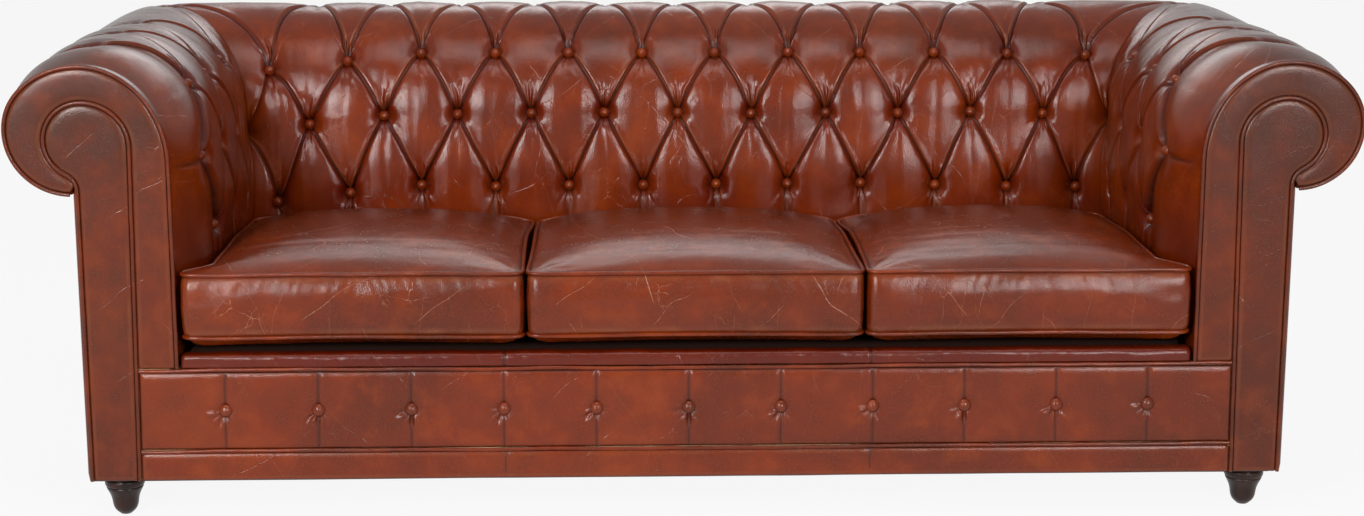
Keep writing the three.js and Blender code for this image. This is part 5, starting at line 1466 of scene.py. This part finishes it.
def makeOutsides():
    for label, side in sides.items():
        low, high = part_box(f"arm_outside_panel_{label}")
        face = high.x if side > 0 else low.x
        inside = low.x if side > 0 else high.x
        outline = along([(low.y, low.z), (high.y, low.z), (high.y, high.z), (low.y, high.z)], 0.012, closed=True)

        def place(y, z, height):
            return np.stack([face - side * 0.002 + side * height, y, z], -1)

        obj = puffedPanel(f"arm_outside_leather_{label}", outline, place, (0, inside), 0.0045, panelLeather,
                          spacing=0.014, seed=95 + side)
        dress(obj, frameBody, "leather", f"arm_outside_panel_{label}")
    low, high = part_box("back_outside_panel")
    outline = along([(low.x, low.z), (high.x, low.z), (high.x, high.z), (low.x, high.z)], 0.014, closed=True)

    def placeBack(x, z, height):
        return np.stack([x, high.y - 0.002 + height, z], -1)

    obj = puffedPanel("back_outside_leather", outline, placeBack, (1, low.y), 0.0050, panelLeather, spacing=0.016, seed=99)
    dress(obj, frameBody, "leather", "back_outside_panel")
    print("outside panels ready")


def makeDeck():
    low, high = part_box("seat_deck")
    outline = along([(low.x, low.y), (high.x, low.y), (high.x, high.y), (low.x, high.y)], 0.02, closed=True)

    def place(x, y, height):
        return np.stack([x, y, high.z - 0.0075 + height], -1)

    obj = puffedPanel("seat_deck_stuffing", outline, place, (2, low.z), 0.0070, deckCloth, spacing=0.025, seed=101)
    dress(obj, frameBody, "deck_cloth", "seat_deck")


def makeDustCover():
    low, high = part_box("dust_cover")
    corners = [(low.x, low.y), (high.x, low.y), (high.x, high.y), (low.x, high.y)]
    holes = []
    for name in ("foot_front_right", "foot_front_left", "foot_rear_right", "foot_rear_left"):
        a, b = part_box(name)
        holes.append(arc(((a.x + b.x) / 2, (a.y + b.y) / 2), (0.035, 0.035), 0, 360, 40)[:-1])
    flat, faces, outline = filled(along(corners, 0.02, closed=True), 0.022, holes=holes)
    far = outlineDistance(flat, outline)
    sag = 0.0030 * smoothStep(far, 0.0, 0.25) + 0.0003 * softNoise(flat[:, 0] / 0.09, flat[:, 1] / 0.09, seed=7)
    points = np.stack([flat[:, 0], flat[:, 1], high.z - 0.0004 - sag], -1)
    obj = makeObject("dust_cover_cloth", makeMesh("dust_cover_cloth", points, faces), dustCloth)
    solid = obj.modifiers.new("thickness", "SOLIDIFY")
    solid.thickness = 0.0008
    applyModifiers(obj)
    faceOutwards(obj)
    dress(obj, frameBody, "deck_cloth", "dust_cover")
    print("seat deck and dust cover ready")


makeFacings()
makeBorder()
makeLip()
makeOutsides()
makeDeck()
makeDustCover()


# Loose cushions: each cover is blown up a little by a cloth simulation, with its seams held

cushion = {
    "names": ("left", "middle", "right"),
    "seams": (0, 0.338, 0.676, 1),
    "gap": 0.010,
    "sideGap": 0.011,
    "front": -0.442,
    "rear": 0.116,
    "bottom": 0.2923,
    "belly": 0.019,
    "edge": 0.105,
    "crown": 0.038,
    "corner": 0.018,
    "drawIn": 0.005,
    "bulge": 0.0115,
    "sideBulge": 0.28,
    "wallRound": (0.30, 0.48),  # shares of the wall that round in to the lower and upper seams
    "squeeze": 0.040,
    "squeezeLength": 0.070,
    "across": 66,
    "deep": 66,
    "wallRows": 13,
    "pressure": 4.0,
    "slack": 0.030,
    "frames": 20,
    "cap": 0.024,
    "cordOut": 0.0022,
    "cordRadius": 0.0036,
    "foamWall": 0.009,
    "zipShare": 0.72,
    "bellyRound": 0.030,
    "rearSag": 0.008,
    "cornerSag": 0.016,
}
cushionDepth = (cushion["rear"] - cushion["front"]) / 2
cushionMiddle = (cushion["rear"] + cushion["front"]) / 2
lowSeam = cushion["bottom"] + cushion["belly"]
topSeam = lowSeam + cushion["edge"]


def cushionSpans():
    seat = scroll["innerFace"] - cushion["sideGap"]
    seams = [mix(-seat, seat, share) for share in cushion["seams"]]
    spans = []
    for i, name in enumerate(cushion["names"]):
        start = seams[i] + (cushion["gap"] / 2 if i > 0 else 0)
        end = seams[i + 1] - (cushion["gap"] / 2 if i < 2 else 0)
        spans.append({"name": name, "middle": (start + end) / 2, "half": (end - start) / 2, "press": (-1, 0, 1)[i],
                      "depth": cushionDepth, "corner": cushion["corner"], "low": lowSeam, "top": topSeam,
                      "belly": cushion["belly"], "crown": cushion["crown"], "bulge": cushion["bulge"],
                      "across": cushion["across"], "deep": cushion["deep"], "walls": cushion["wallRows"], "seed": 200 + 10 * i})
    return spans


def cornerTurn(overX, overY):
    # spreads the points of a square corner evenly round its arc
    across = np.minimum(overX, overY) / np.maximum(np.maximum(overX, overY), 1e-9)
    return np.where(overX >= overY, across * math.pi / 4, math.pi / 2 - across * math.pi / 4)


def cushionPlan(u, v, span):
    # u and v fill a square from -1 to 1; the plan is a rounded oblong, squeezed beside an arm
    halfX, halfY = span["half"], span["depth"]
    reach = np.maximum(abs(u), abs(v))
    x, y = u * halfX, v * halfY
    radius = span["corner"] * reach**4
    insetX, insetY = halfX * reach - radius, halfY * reach - radius
    overX, overY = abs(x) - insetX, abs(y) - insetY
    turn = cornerTurn(np.clip(overX, 0, None), np.clip(overY, 0, None))
    inCorner = (overX > 0) & (overY > 0)
    x = np.where(inCorner, np.sign(x) * (insetX + radius * np.cos(turn)), x)
    y = np.where(inCorner, np.sign(y) * (insetY + radius * np.sin(turn)), y)
    x = x - np.sign(u) * cushion["drawIn"] * np.cos(v * math.pi / 2) * abs(u) ** 3
    y = y - np.sign(v) * cushion["drawIn"] * np.cos(u * math.pi / 2) * abs(v) ** 3
    if span["press"]:
        behind = smoothStep(y + halfY - span["corner"], 0, cushion["squeezeLength"])
        x = x - span["press"] * cushion["squeeze"] * behind * np.clip(x * span["press"] / halfX, 0, None)
    return x, y


def cushionRim(span):
    # the plan's edge as places in the square, once round from the front left corner
    across = np.linspace(-1, 1, span["across"] + 1)
    deep = np.linspace(-1, 1, span["deep"] + 1)
    one, other = np.ones(span["across"]), np.ones(span["deep"])
    u = np.concatenate([across[:-1], other, across[:0:-1], -other])
    v = np.concatenate([-one, deep[:-1], one, deep[:0:-1]])
    return u, v


def cushionMesh(name, span):
    # top and underside grids joined by the rows of the wall, all in four-sided faces
    across = np.linspace(-1, 1, span["across"] + 1)
    deep = np.linspace(-1, 1, span["deep"] + 1)
    u, v = np.meshgrid(across, deep, indexing="ij")
    x, y = cushionPlan(u, v, span)
    rounded = 1 - ((1 - u**2) * (1 - v**2)) ** 0.62
    top = span["top"] + span["crown"] * (1 - rounded**1.25)
    fromRim = np.minimum((1 - abs(u)) * span["half"], (1 - abs(v)) * span["depth"])
    round_ = 1 - np.clip(fromRim / cushion["bellyRound"], 0, 1)
    under = span["low"] - span["belly"] * np.sqrt(1 - round_**2)
    rows, columns = u.shape
    index = np.arange(rows * columns).reshape(rows, columns)
    quads = np.stack([index[:-1, :-1], index[1:, :-1], index[1:, 1:], index[:-1, 1:]], -1).reshape(-1, 4)
    faces = [quads[:, ::-1], quads + rows * columns]
    ringU, ringV = cushionRim(span)
    i = np.round((ringU + 1) / 2 * span["across"]).astype(int)
    j = np.round((ringV + 1) / 2 * span["deep"]).astype(int)
    low, high = index[i, j], index[i, j] + rows * columns
    ringX, ringY = cushionPlan(ringU, ringV, span)
    away = np.stack([cushion["sideBulge"] * ringU * abs(ringU) ** 7, np.minimum(ringV, 0.35) * abs(ringV) ** 7], 1)
    points = [np.stack([x, y, under], -1).reshape(-1, 3), np.stack([x, y, top], -1).reshape(-1, 3)]
    rings, first = [low], 2 * rows * columns
    for row in range(1, span["walls"]):
        share = row / span["walls"]
        ring = np.stack([ringX, ringY, np.full(len(ringX), mix(span["low"], span["top"], share))], -1)
        into = min(share / cushion["wallRound"][0], (1 - share) / cushion["wallRound"][1], 1)
        ring[:, :2] += away * span["bulge"] * math.sqrt(1 - (1 - into) ** 2)
        points.append(ring)
        rings.append(np.arange(len(ringX)) + first)
        first += len(ringX)
    rings.append(high)
    for lower, upper in zip(rings, rings[1:]):
        faces.append(np.stack([lower, np.roll(lower, -1), np.roll(upper, -1), upper], -1))
    points = np.vstack(points) + (span["middle"], cushionMiddle, 0)
    return makeMesh(name, points, np.vstack(faces)), low, high


def sag(points, span):
    # the top of a cushion sinks towards its rear, and most at the rear corners
    x, y = points[:, 0] - span["middle"], points[:, 1] - cushionMiddle
    risen = np.clip((points[:, 2] - lowSeam) / cushion["edge"], 0, 1)
    rearwards = smoothStep(y / cushionDepth, 0, 1)
    sunk = cushion["rearSag"] + cushion["cornerSag"] * np.clip(abs(x) / span["half"], 0, 1) ** 4
    points[:, 2] -= risen * rearwards * sunk
    return points


def pointsOf(mesh):
    points = np.empty(len(mesh.vertices) * 3, np.float32)
    mesh.vertices.foreach_get("co", points)
    return points.reshape(-1, 3).astype(float)


def blownUp(obj, held, loose):
    # cloth under pressure: the seams stay put, and loose cloth between them makes the wrinkles
    seams = obj.vertex_groups.new(name="seams")
    seams.add(held.tolist(), 1.0, "REPLACE")
    loosened = obj.vertex_groups.new(name="loose")
    for index, weight in enumerate(loose):
        loosened.add([index], float(weight), "REPLACE")
    modifier = obj.modifiers.new("cloth", "CLOTH")
    cloth = modifier.settings
    cloth.vertex_group_mass = "seams"
    cloth.vertex_group_shrink = "loose"
    cloth.shrink_min = 0.0
    cloth.shrink_max = -cushion["slack"]
    cloth.quality = 6
    cloth.mass = 0.35
    cloth.tension_stiffness = cloth.compression_stiffness = 18
    cloth.shear_stiffness = 6
    cloth.bending_stiffness = 0.35
    cloth.use_pressure = True
    cloth.uniform_pressure_force = cushion["pressure"]
    cloth.effector_weights.gravity = 0
    modifier.collision_settings.use_collision = False
    modifier.point_cache.frame_start = 1
    modifier.point_cache.frame_end = cushion["frames"]
    for step in range(1, cushion["frames"] + 1):
        scene.frame_set(step)
    evaluated = obj.evaluated_get(bpy.context.evaluated_depsgraph_get())
    points = pointsOf(evaluated.data)
    obj.modifiers.remove(modifier)
    obj.vertex_groups.clear()
    scene.frame_set(1)
    return points


def puffedCushion(obj, span, held):
    before = pointsOf(obj.data)
    after = before
    near = before / (0.11, 0.11, 0.05)
    after = blownUp(obj, held, np.clip(0.6 + 0.5 * softNoise(near[:, 0], near[:, 1], near[:, 2], span["seed"]), 0, 1))
    move = after - before
    length = np.linalg.norm(move, axis=1)
    after = before + move * np.minimum(1, cushion["cap"] / np.maximum(length, 1e-9))[:, None]
    # the sides bulge no further than their neighbours allow, and the underside lies flat
    outwards = np.sign(before[:, :2] - (span["middle"], cushionMiddle))
    pushed = np.clip((after[:, :2] - before[:, :2]) * outwards, -0.012, 0.0026) * outwards
    after[:, :2] = before[:, :2] + pushed
    above = after[:, 2] > topSeam
    highest = (after[:, 2] - topSeam).max()
    after[:, 2] = np.where(above, topSeam + (after[:, 2] - topSeam) * (cushion["crown"] - 0.0006) / highest, after[:, 2])
    after[:, 2] = np.maximum(after[:, 2], cushion["bottom"] + 0.0004)
    obj.data.vertices.foreach_set("co", after.astype(np.float32).ravel())
    obj.data.update()


def wrinkleCushion(obj, span):
    # small creases that the simulation's mesh is too coarse for
    points = pointsOf(obj.data)
    normals = np.empty(len(points) * 3, np.float32)
    obj.data.vertices.foreach_get("normal", normals)
    normals = normals.reshape(-1, 3)
    local = points - (span["middle"], cushionMiddle, 0)
    x, y, z = local.T
    seed = span["seed"]
    wall = smoothStep(z, lowSeam + 0.002, lowSeam + 0.012) * (1 - smoothStep(z, topSeam - 0.007, topSeam - 0.001))
    onTop = smoothStep(z, topSeam + 0.001, topSeam + 0.008)
    around = x - y * np.sign(x * y + 1e-9)
    gathers = softNoise(around / 0.007, z / 0.05, seed=seed + 1) * np.exp(-(topSeam - z) / 0.016)
    gathers = gathers + softNoise(around / 0.010, z / 0.05, seed=seed + 2) * np.exp(-(z - lowSeam) / 0.014)
    slack = softNoise(around / 0.05, z / 0.018, seed=seed + 3)
    height = wall * (0.0009 * np.clip(gathers, -1, 0.4) + 0.0007 * slack)
    cornerX, cornerY = span["half"] - abs(x), span["depth"] - abs(y)
    far = np.hypot(cornerX, cornerY)
    angle = np.arctan2(cornerY, cornerX + 1e-9)
    quarter = 2 * (x > 0) + (y > 0)
    fan = np.sin(angle * 13 + quarter * 1.3 + 2.2 * softNoise(x / 0.05, y / 0.05, seed=seed + 4))
    height = height + onTop * 0.0013 * fan * np.exp(-far / 0.055)
    edge = np.minimum(cornerX, cornerY)
    seamPulls = softNoise(x / 0.012, y / 0.012, seed=seed + 5) * np.exp(-np.clip(edge, 0, None) / 0.016)
    height = height + onTop * 0.0008 * seamPulls
    long = softNoise(x / 0.13, y / 0.022, seed=seed + 6)
    height = height + onTop * 0.0006 * np.clip(long, -1, 0.3) * smoothStep(edge, 0.01, 0.05)
    points = sag(points + normals * height[:, None], span)
    obj.data.vertices.foreach_set("co", points.astype(np.float32).ravel())
    obj.data.update()
    nearSeam = np.minimum(abs(z - topSeam), abs(z - lowSeam))
    rim = np.exp(-((np.clip(edge, 0, None) / 0.010) ** 2))
    # painted shade along the seams round the rim
    setAttribute(obj.data, "painted_crease_shade", np.exp(-((nearSeam / 0.0042) ** 2)) * rim)
    # a lighter band beside each seam: wear, partly a painted highlight
    rubbedAndHighlight = np.exp(-(((nearSeam - 0.009) / 0.005) ** 2)) * rim * (0.5 + 0.5 * softNoise(around / 0.03, z / 0.03, seed=seed + 8))
    setAttribute(obj.data, "wear_and_highlight", 0.5 * rubbedAndHighlight)
    # a darker tone on the walls, and painted shade over the top that deepens towards the rear
    setAttribute(obj.data, "patina_and_shade", 0.16 * wall + onTop * (0.10 + 0.6 * smoothStep(y / cushionDepth, -0.5, 0.9)))


def seamCords(span):
    u, v = cushionRim(span)
    x, y = cushionPlan(u, v, span)
    away = np.stack([x, y], 1)
    away /= np.linalg.norm(away, axis=1)[:, None]
    flat = np.stack([x, y], 1) + away * cushion["cordOut"]
    lines = []
    for level, seed in ((lowSeam, 1), (topSeam, 2)):
        wave = 0.0009 * softNoise(flat[:, 0] / 0.07, flat[:, 1] / 0.07, seed=span["seed"] + seed)
        ring = np.column_stack([flat[:, 0] + span["middle"], flat[:, 1] + cushionMiddle, level + wave])
        lines.append(along(sag(ring, span), 0.007, closed=True))
    return lines


zipper = {
    "tooth": (0.0016, 0.0012, 0.0030),
    "pitch": 0.0030,
    "tapeHeight": 0.0040,
    "tapeDepth": 0.0008,
    "tapeRound": 0.0008,
    "slider": (0.013, 0.0048, 0.0062),
}


def zipTree(name, material):
    # metal teeth strung along a line, each second one a little lower
    tree, given = nodeTree(name, {"Pitch": 0.003, "Length": 0.0016, "Depth": 0.0012, "Height": 0.003, "Stagger": 0.0007})
    line = addNode(tree, "GeometryNodeResampleCurve", {"Curve": given["Geometry"], "Length": given["Pitch"]}, mode="LENGTH").outputs[0]
    size = addNode(tree, "ShaderNodeCombineXYZ", {0: given["Length"], 1: given["Depth"], 2: given["Height"]}).outputs[0]
    tooth = addNode(tree, "GeometryNodeMeshCube", {"Size": size}).outputs[0]
    placed = addNode(tree, "GeometryNodeInstanceOnPoints", {"Points": line, "Instance": tooth}).outputs[0]
    index = addNode(tree, "GeometryNodeInputIndex").outputs[0]
    odd = math2(tree, "MODULO", index, 2.0)
    lift = math2(tree, "MULTIPLY", math2(tree, "SUBTRACT", odd, 0.5), given["Stagger"])
    offset = addNode(tree, "ShaderNodeCombineXYZ", {2: lift}).outputs[0]
    moved = addNode(tree, "GeometryNodeTranslateInstances", {"Instances": placed, "Translation": offset}).outputs[0]
    endTree(tree, moved, material)
    return tree


zipNodes = zipTree("zip_teeth", zipBrass)


def makeZip(span):
    # at the back of the cover: two tapes, the teeth between them, a slider and its pull
    low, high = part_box("cushion_zip_" + span["name"])
    middle, depth = (low.x + high.x) / 2, cushion["rear"] - cushion["drawIn"] - 0.0016
    half, level = (high.x - low.x) / 2, (low.z + high.z) / 2
    sizes = zipper
    shape = bmesh.new()
    tape, edge = sizes["tapeHeight"], sizes["tapeRound"]
    for side in (1, -1):
        centre = level + side * (tape / 2 + sizes["tooth"][2] * 0.30)
        made = bmesh.ops.create_grid(shape, x_segments=120, y_segments=4, size=0.5)
        for v in made["verts"]:
            v.co = (middle + v.co.x * 2 * half, depth + edge * abs(v.co.y) * 1.4, centre + v.co.y * tape)
        thick = bmesh.ops.extrude_face_region(shape, geom=list({f for v in made["verts"] for f in v.link_faces}))
        for v in thick["geom"]:
            if isinstance(v, bmesh.types.BMVert):
                v.co.y -= sizes["tapeDepth"]
    mesh = bpy.data.meshes.new("zip_tape")
    bmesh.ops.recalc_face_normals(shape, faces=shape.faces)
    shape.to_mesh(mesh)
    shape.free()
    tapes = makeObject("zip_tapes_" + span["name"], mesh, deckCloth)
    dress(tapes, "seat_cushion_" + span["name"], "deck_cloth", "cushion_zip_" + span["name"])
    line = [(x, depth, level) for x in np.linspace(middle - half + 0.004, middle + half - 0.004, 60)]
    length, thickness, height = sizes["tooth"]
    values = {"Pitch": sizes["pitch"], "Length": length, "Depth": thickness, "Height": height, "Stagger": 0.0008}
    teeth = grown(lineObject("zip_teeth_" + span["name"], [line]), zipNodes, values)
    dress(teeth, "seat_cushion_" + span["name"], "zip_brass")
    place = Vector((middle + half - 0.020, depth + 0.0012, level))
    shape = bmesh.new()
    outline = [(-1, -0.55), (-0.2, -1), (0.65, -1), (1, -0.45), (1, 0.45), (0.65, 1), (-0.2, 1), (-1, 0.55)]
    width, deep, tall = sizes["slider"]
    rings = []
    for share, scale in ((-0.5, 0.86), (-0.35, 1), (0.35, 1), (0.5, 0.86)):
        corners = [place + Vector((a * width / 2 * scale, share * deep, b * tall / 2 * scale)) for a, b in outline]
        rings.append([shape.verts.new(corner) for corner in corners])
    for lower, upper in ((rings[i], rings[i + 1]) for i in range(3)):
        for i in range(len(lower)):
            j = (i + 1) % len(lower)
            shape.faces.new((lower[i], lower[j], upper[j], upper[i]))
    shape.faces.new(rings[0][::-1])
    shape.faces.new(rings[-1])
    hinge = place + Vector((-0.002, deep / 2 + 0.0006, 0))
    pull = [(0, 0.0026), (0.006, 0.0030), (0.018, 0.0024), (0.021, 0.0014), (0.021, -0.0014), (0.018, -0.0024), (0.006, -0.0030), (0, -0.0026)]
    front = [shape.verts.new(hinge + Vector((-a, 0.0006, b))) for a, b in pull]
    rear = [shape.verts.new(hinge + Vector((-a, -0.0004, b))) for a, b in pull]
    shape.faces.new(front)
    shape.faces.new(rear[::-1])
    for i in range(len(front)):
        j = (i + 1) % len(front)
        shape.faces.new((front[j], front[i], rear[i], rear[j]))
    mesh = bpy.data.meshes.new("zip_slider")
    bmesh.ops.recalc_face_normals(shape, faces=shape.faces)
    shape.to_mesh(mesh)
    shape.free()
    slider = makeObject("zip_slider_" + span["name"], mesh, zipBrass)
    bevel = slider.modifiers.new("bevel", "BEVEL")
    bevel.width, bevel.segments = 0.0003, 2
    slider = applyModifiers(slider)
    dress(slider, "seat_cushion_" + span["name"], "zip_brass")


def makeCushions():
    for span in cushionSpans():
        body, name = "seat_cushion_" + span["name"], span["name"]
        mesh, low, high = cushionMesh("cushion_cover_leather_" + name, span)
        cover = makeObject(mesh.name, mesh, cushionLeather)
        faceOutwards(cover)
        puffedCushion(cover, span, np.unique(np.concatenate([low, high])))
        finer = cover.modifiers.new("finer", "SUBSURF")
        finer.levels = finer.render_levels = 1
        cover = applyModifiers(cover)
        wrinkleCushion(cover, span)
        dress(cover, body, "leather", "cushion_cover_" + name)
        cords = cord("cushion_cords_" + name, seamCords(span), cushion["cordRadius"], closed=True)
        dress(cords, body, "piping_leather")
        wall = cushion["foamWall"]
        press = abs(span["press"])
        inner = dict(span, half=span["half"] - wall - press * cushion["squeeze"] - cushion["drawIn"], depth=span["depth"] - wall - 0.012,
                     corner=span["corner"] - wall / 2, low=span["low"] + wall, top=span["top"] - wall, belly=cushion["belly"] - 0.001,
                     crown=cushion["crown"] - 0.010, bulge=0.001, press=0, across=28, deep=28, walls=6)
        mesh, low, high = cushionMesh("cushion_foam_" + name, inner)
        mesh.vertices.foreach_set("co", sag(pointsOf(mesh), inner).astype(np.float32).ravel())
        core = makeObject(mesh.name, mesh, cushionFoam)
        faceOutwards(core)
        dress(core, body, "foam", "cushion_core_" + name)
        makeZip(span)
        print("cushion", name, "ready:", len(cover.data.polygons), "faces")


makeCushions()


# Turned feet

foot = {
    "radius": 0.033,
    "height": 0.070,
    "radii": (0.26, 0.45, 0.6, 0.66, 0.79, 0.94, 1, 1, 0.93, 0.93),
    "rises": (0, 0.07, 0.19, 0.36, 0.53, 0.7, 0.77, 0.88, 0.94, 1),
    "sides": 48,
}


def footProfile():
    # from the sole up: an egg, a waist, and a collar with a groove above it
    return [
        (0.0, 0.0), (0.20, 0.0), (0.275, 0.012), (0.345, 0.040), (0.455, 0.085), (0.545, 0.140), (0.605, 0.200), (0.640, 0.270),
        (0.660, 0.345), (0.690, 0.420), (0.735, 0.490), (0.800, 0.560), (0.870, 0.625), (0.915, 0.668), (0.930, 0.690),
        (0.905, 0.702), (0.900, 0.712), (0.925, 0.722), (0.968, 0.738), (0.995, 0.770), (1.0, 0.815), (0.995, 0.858),
        (0.968, 0.890), (0.935, 0.905), (0.920, 0.918), (0.930, 0.930), (0.930, 1.0), (0.0, 1.0),
    ]


def makeFeet():
    for end in ("front", "rear"):
        for label in sides:
            name = f"foot_{end}_{label}"
            low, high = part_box(name)
            x, y = (low.x + high.x) / 2, (low.y + high.y) / 2
            shape = bmesh.new()
            line = [(r * foot["radius"], z * (foot["height"] - gap)) for r, z in footProfile()]
            rings = []
            for radius, level in line[1:-1]:
                turns = np.linspace(0, 2 * math.pi, foot["sides"] + 1)[:-1]
                rings.append([shape.verts.new((x + radius * math.cos(t), y + radius * math.sin(t), level)) for t in turns])
            for lower, upper in ((rings[i], rings[i + 1]) for i in range(len(rings) - 1)):
                for i in range(foot["sides"]):
                    j = (i + 1) % foot["sides"]
                    shape.faces.new((lower[i], lower[j], upper[j], upper[i]))
            shape.faces.new(rings[0][::-1])
            shape.faces.new(rings[-1])
            mesh = bpy.data.meshes.new("turned_" + name)
            shape.to_mesh(mesh)
            shape.free()
            obj = makeObject("turned_" + name, mesh, footWood)
            for polygon in mesh.polygons:
                polygon.use_smooth = len(polygon.vertices) < 5
            dress(obj, frameBody, "dark_wood", name)


makeFeet()
print("feet ready")


# Finishes of the CAD pieces that stay

finishes = {
    beechWood: ("front_rail", "rear_rail", "side_rail", "seat_brace", "corner_post", "back_upright", "arm_front_board",
                "arm_roll_former", "back_roll_former", "back_tack_rail", "arm_tack_rail", "corner_block"),
    juteWebbing: ("seat_webbing",),
    boltSteel: ("foot_bolt",),
}
for finish, starts in finishes.items():
    for name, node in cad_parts.items():
        if name.startswith(starts):
            node.data.materials.clear()
            node.data.materials.append(finish)
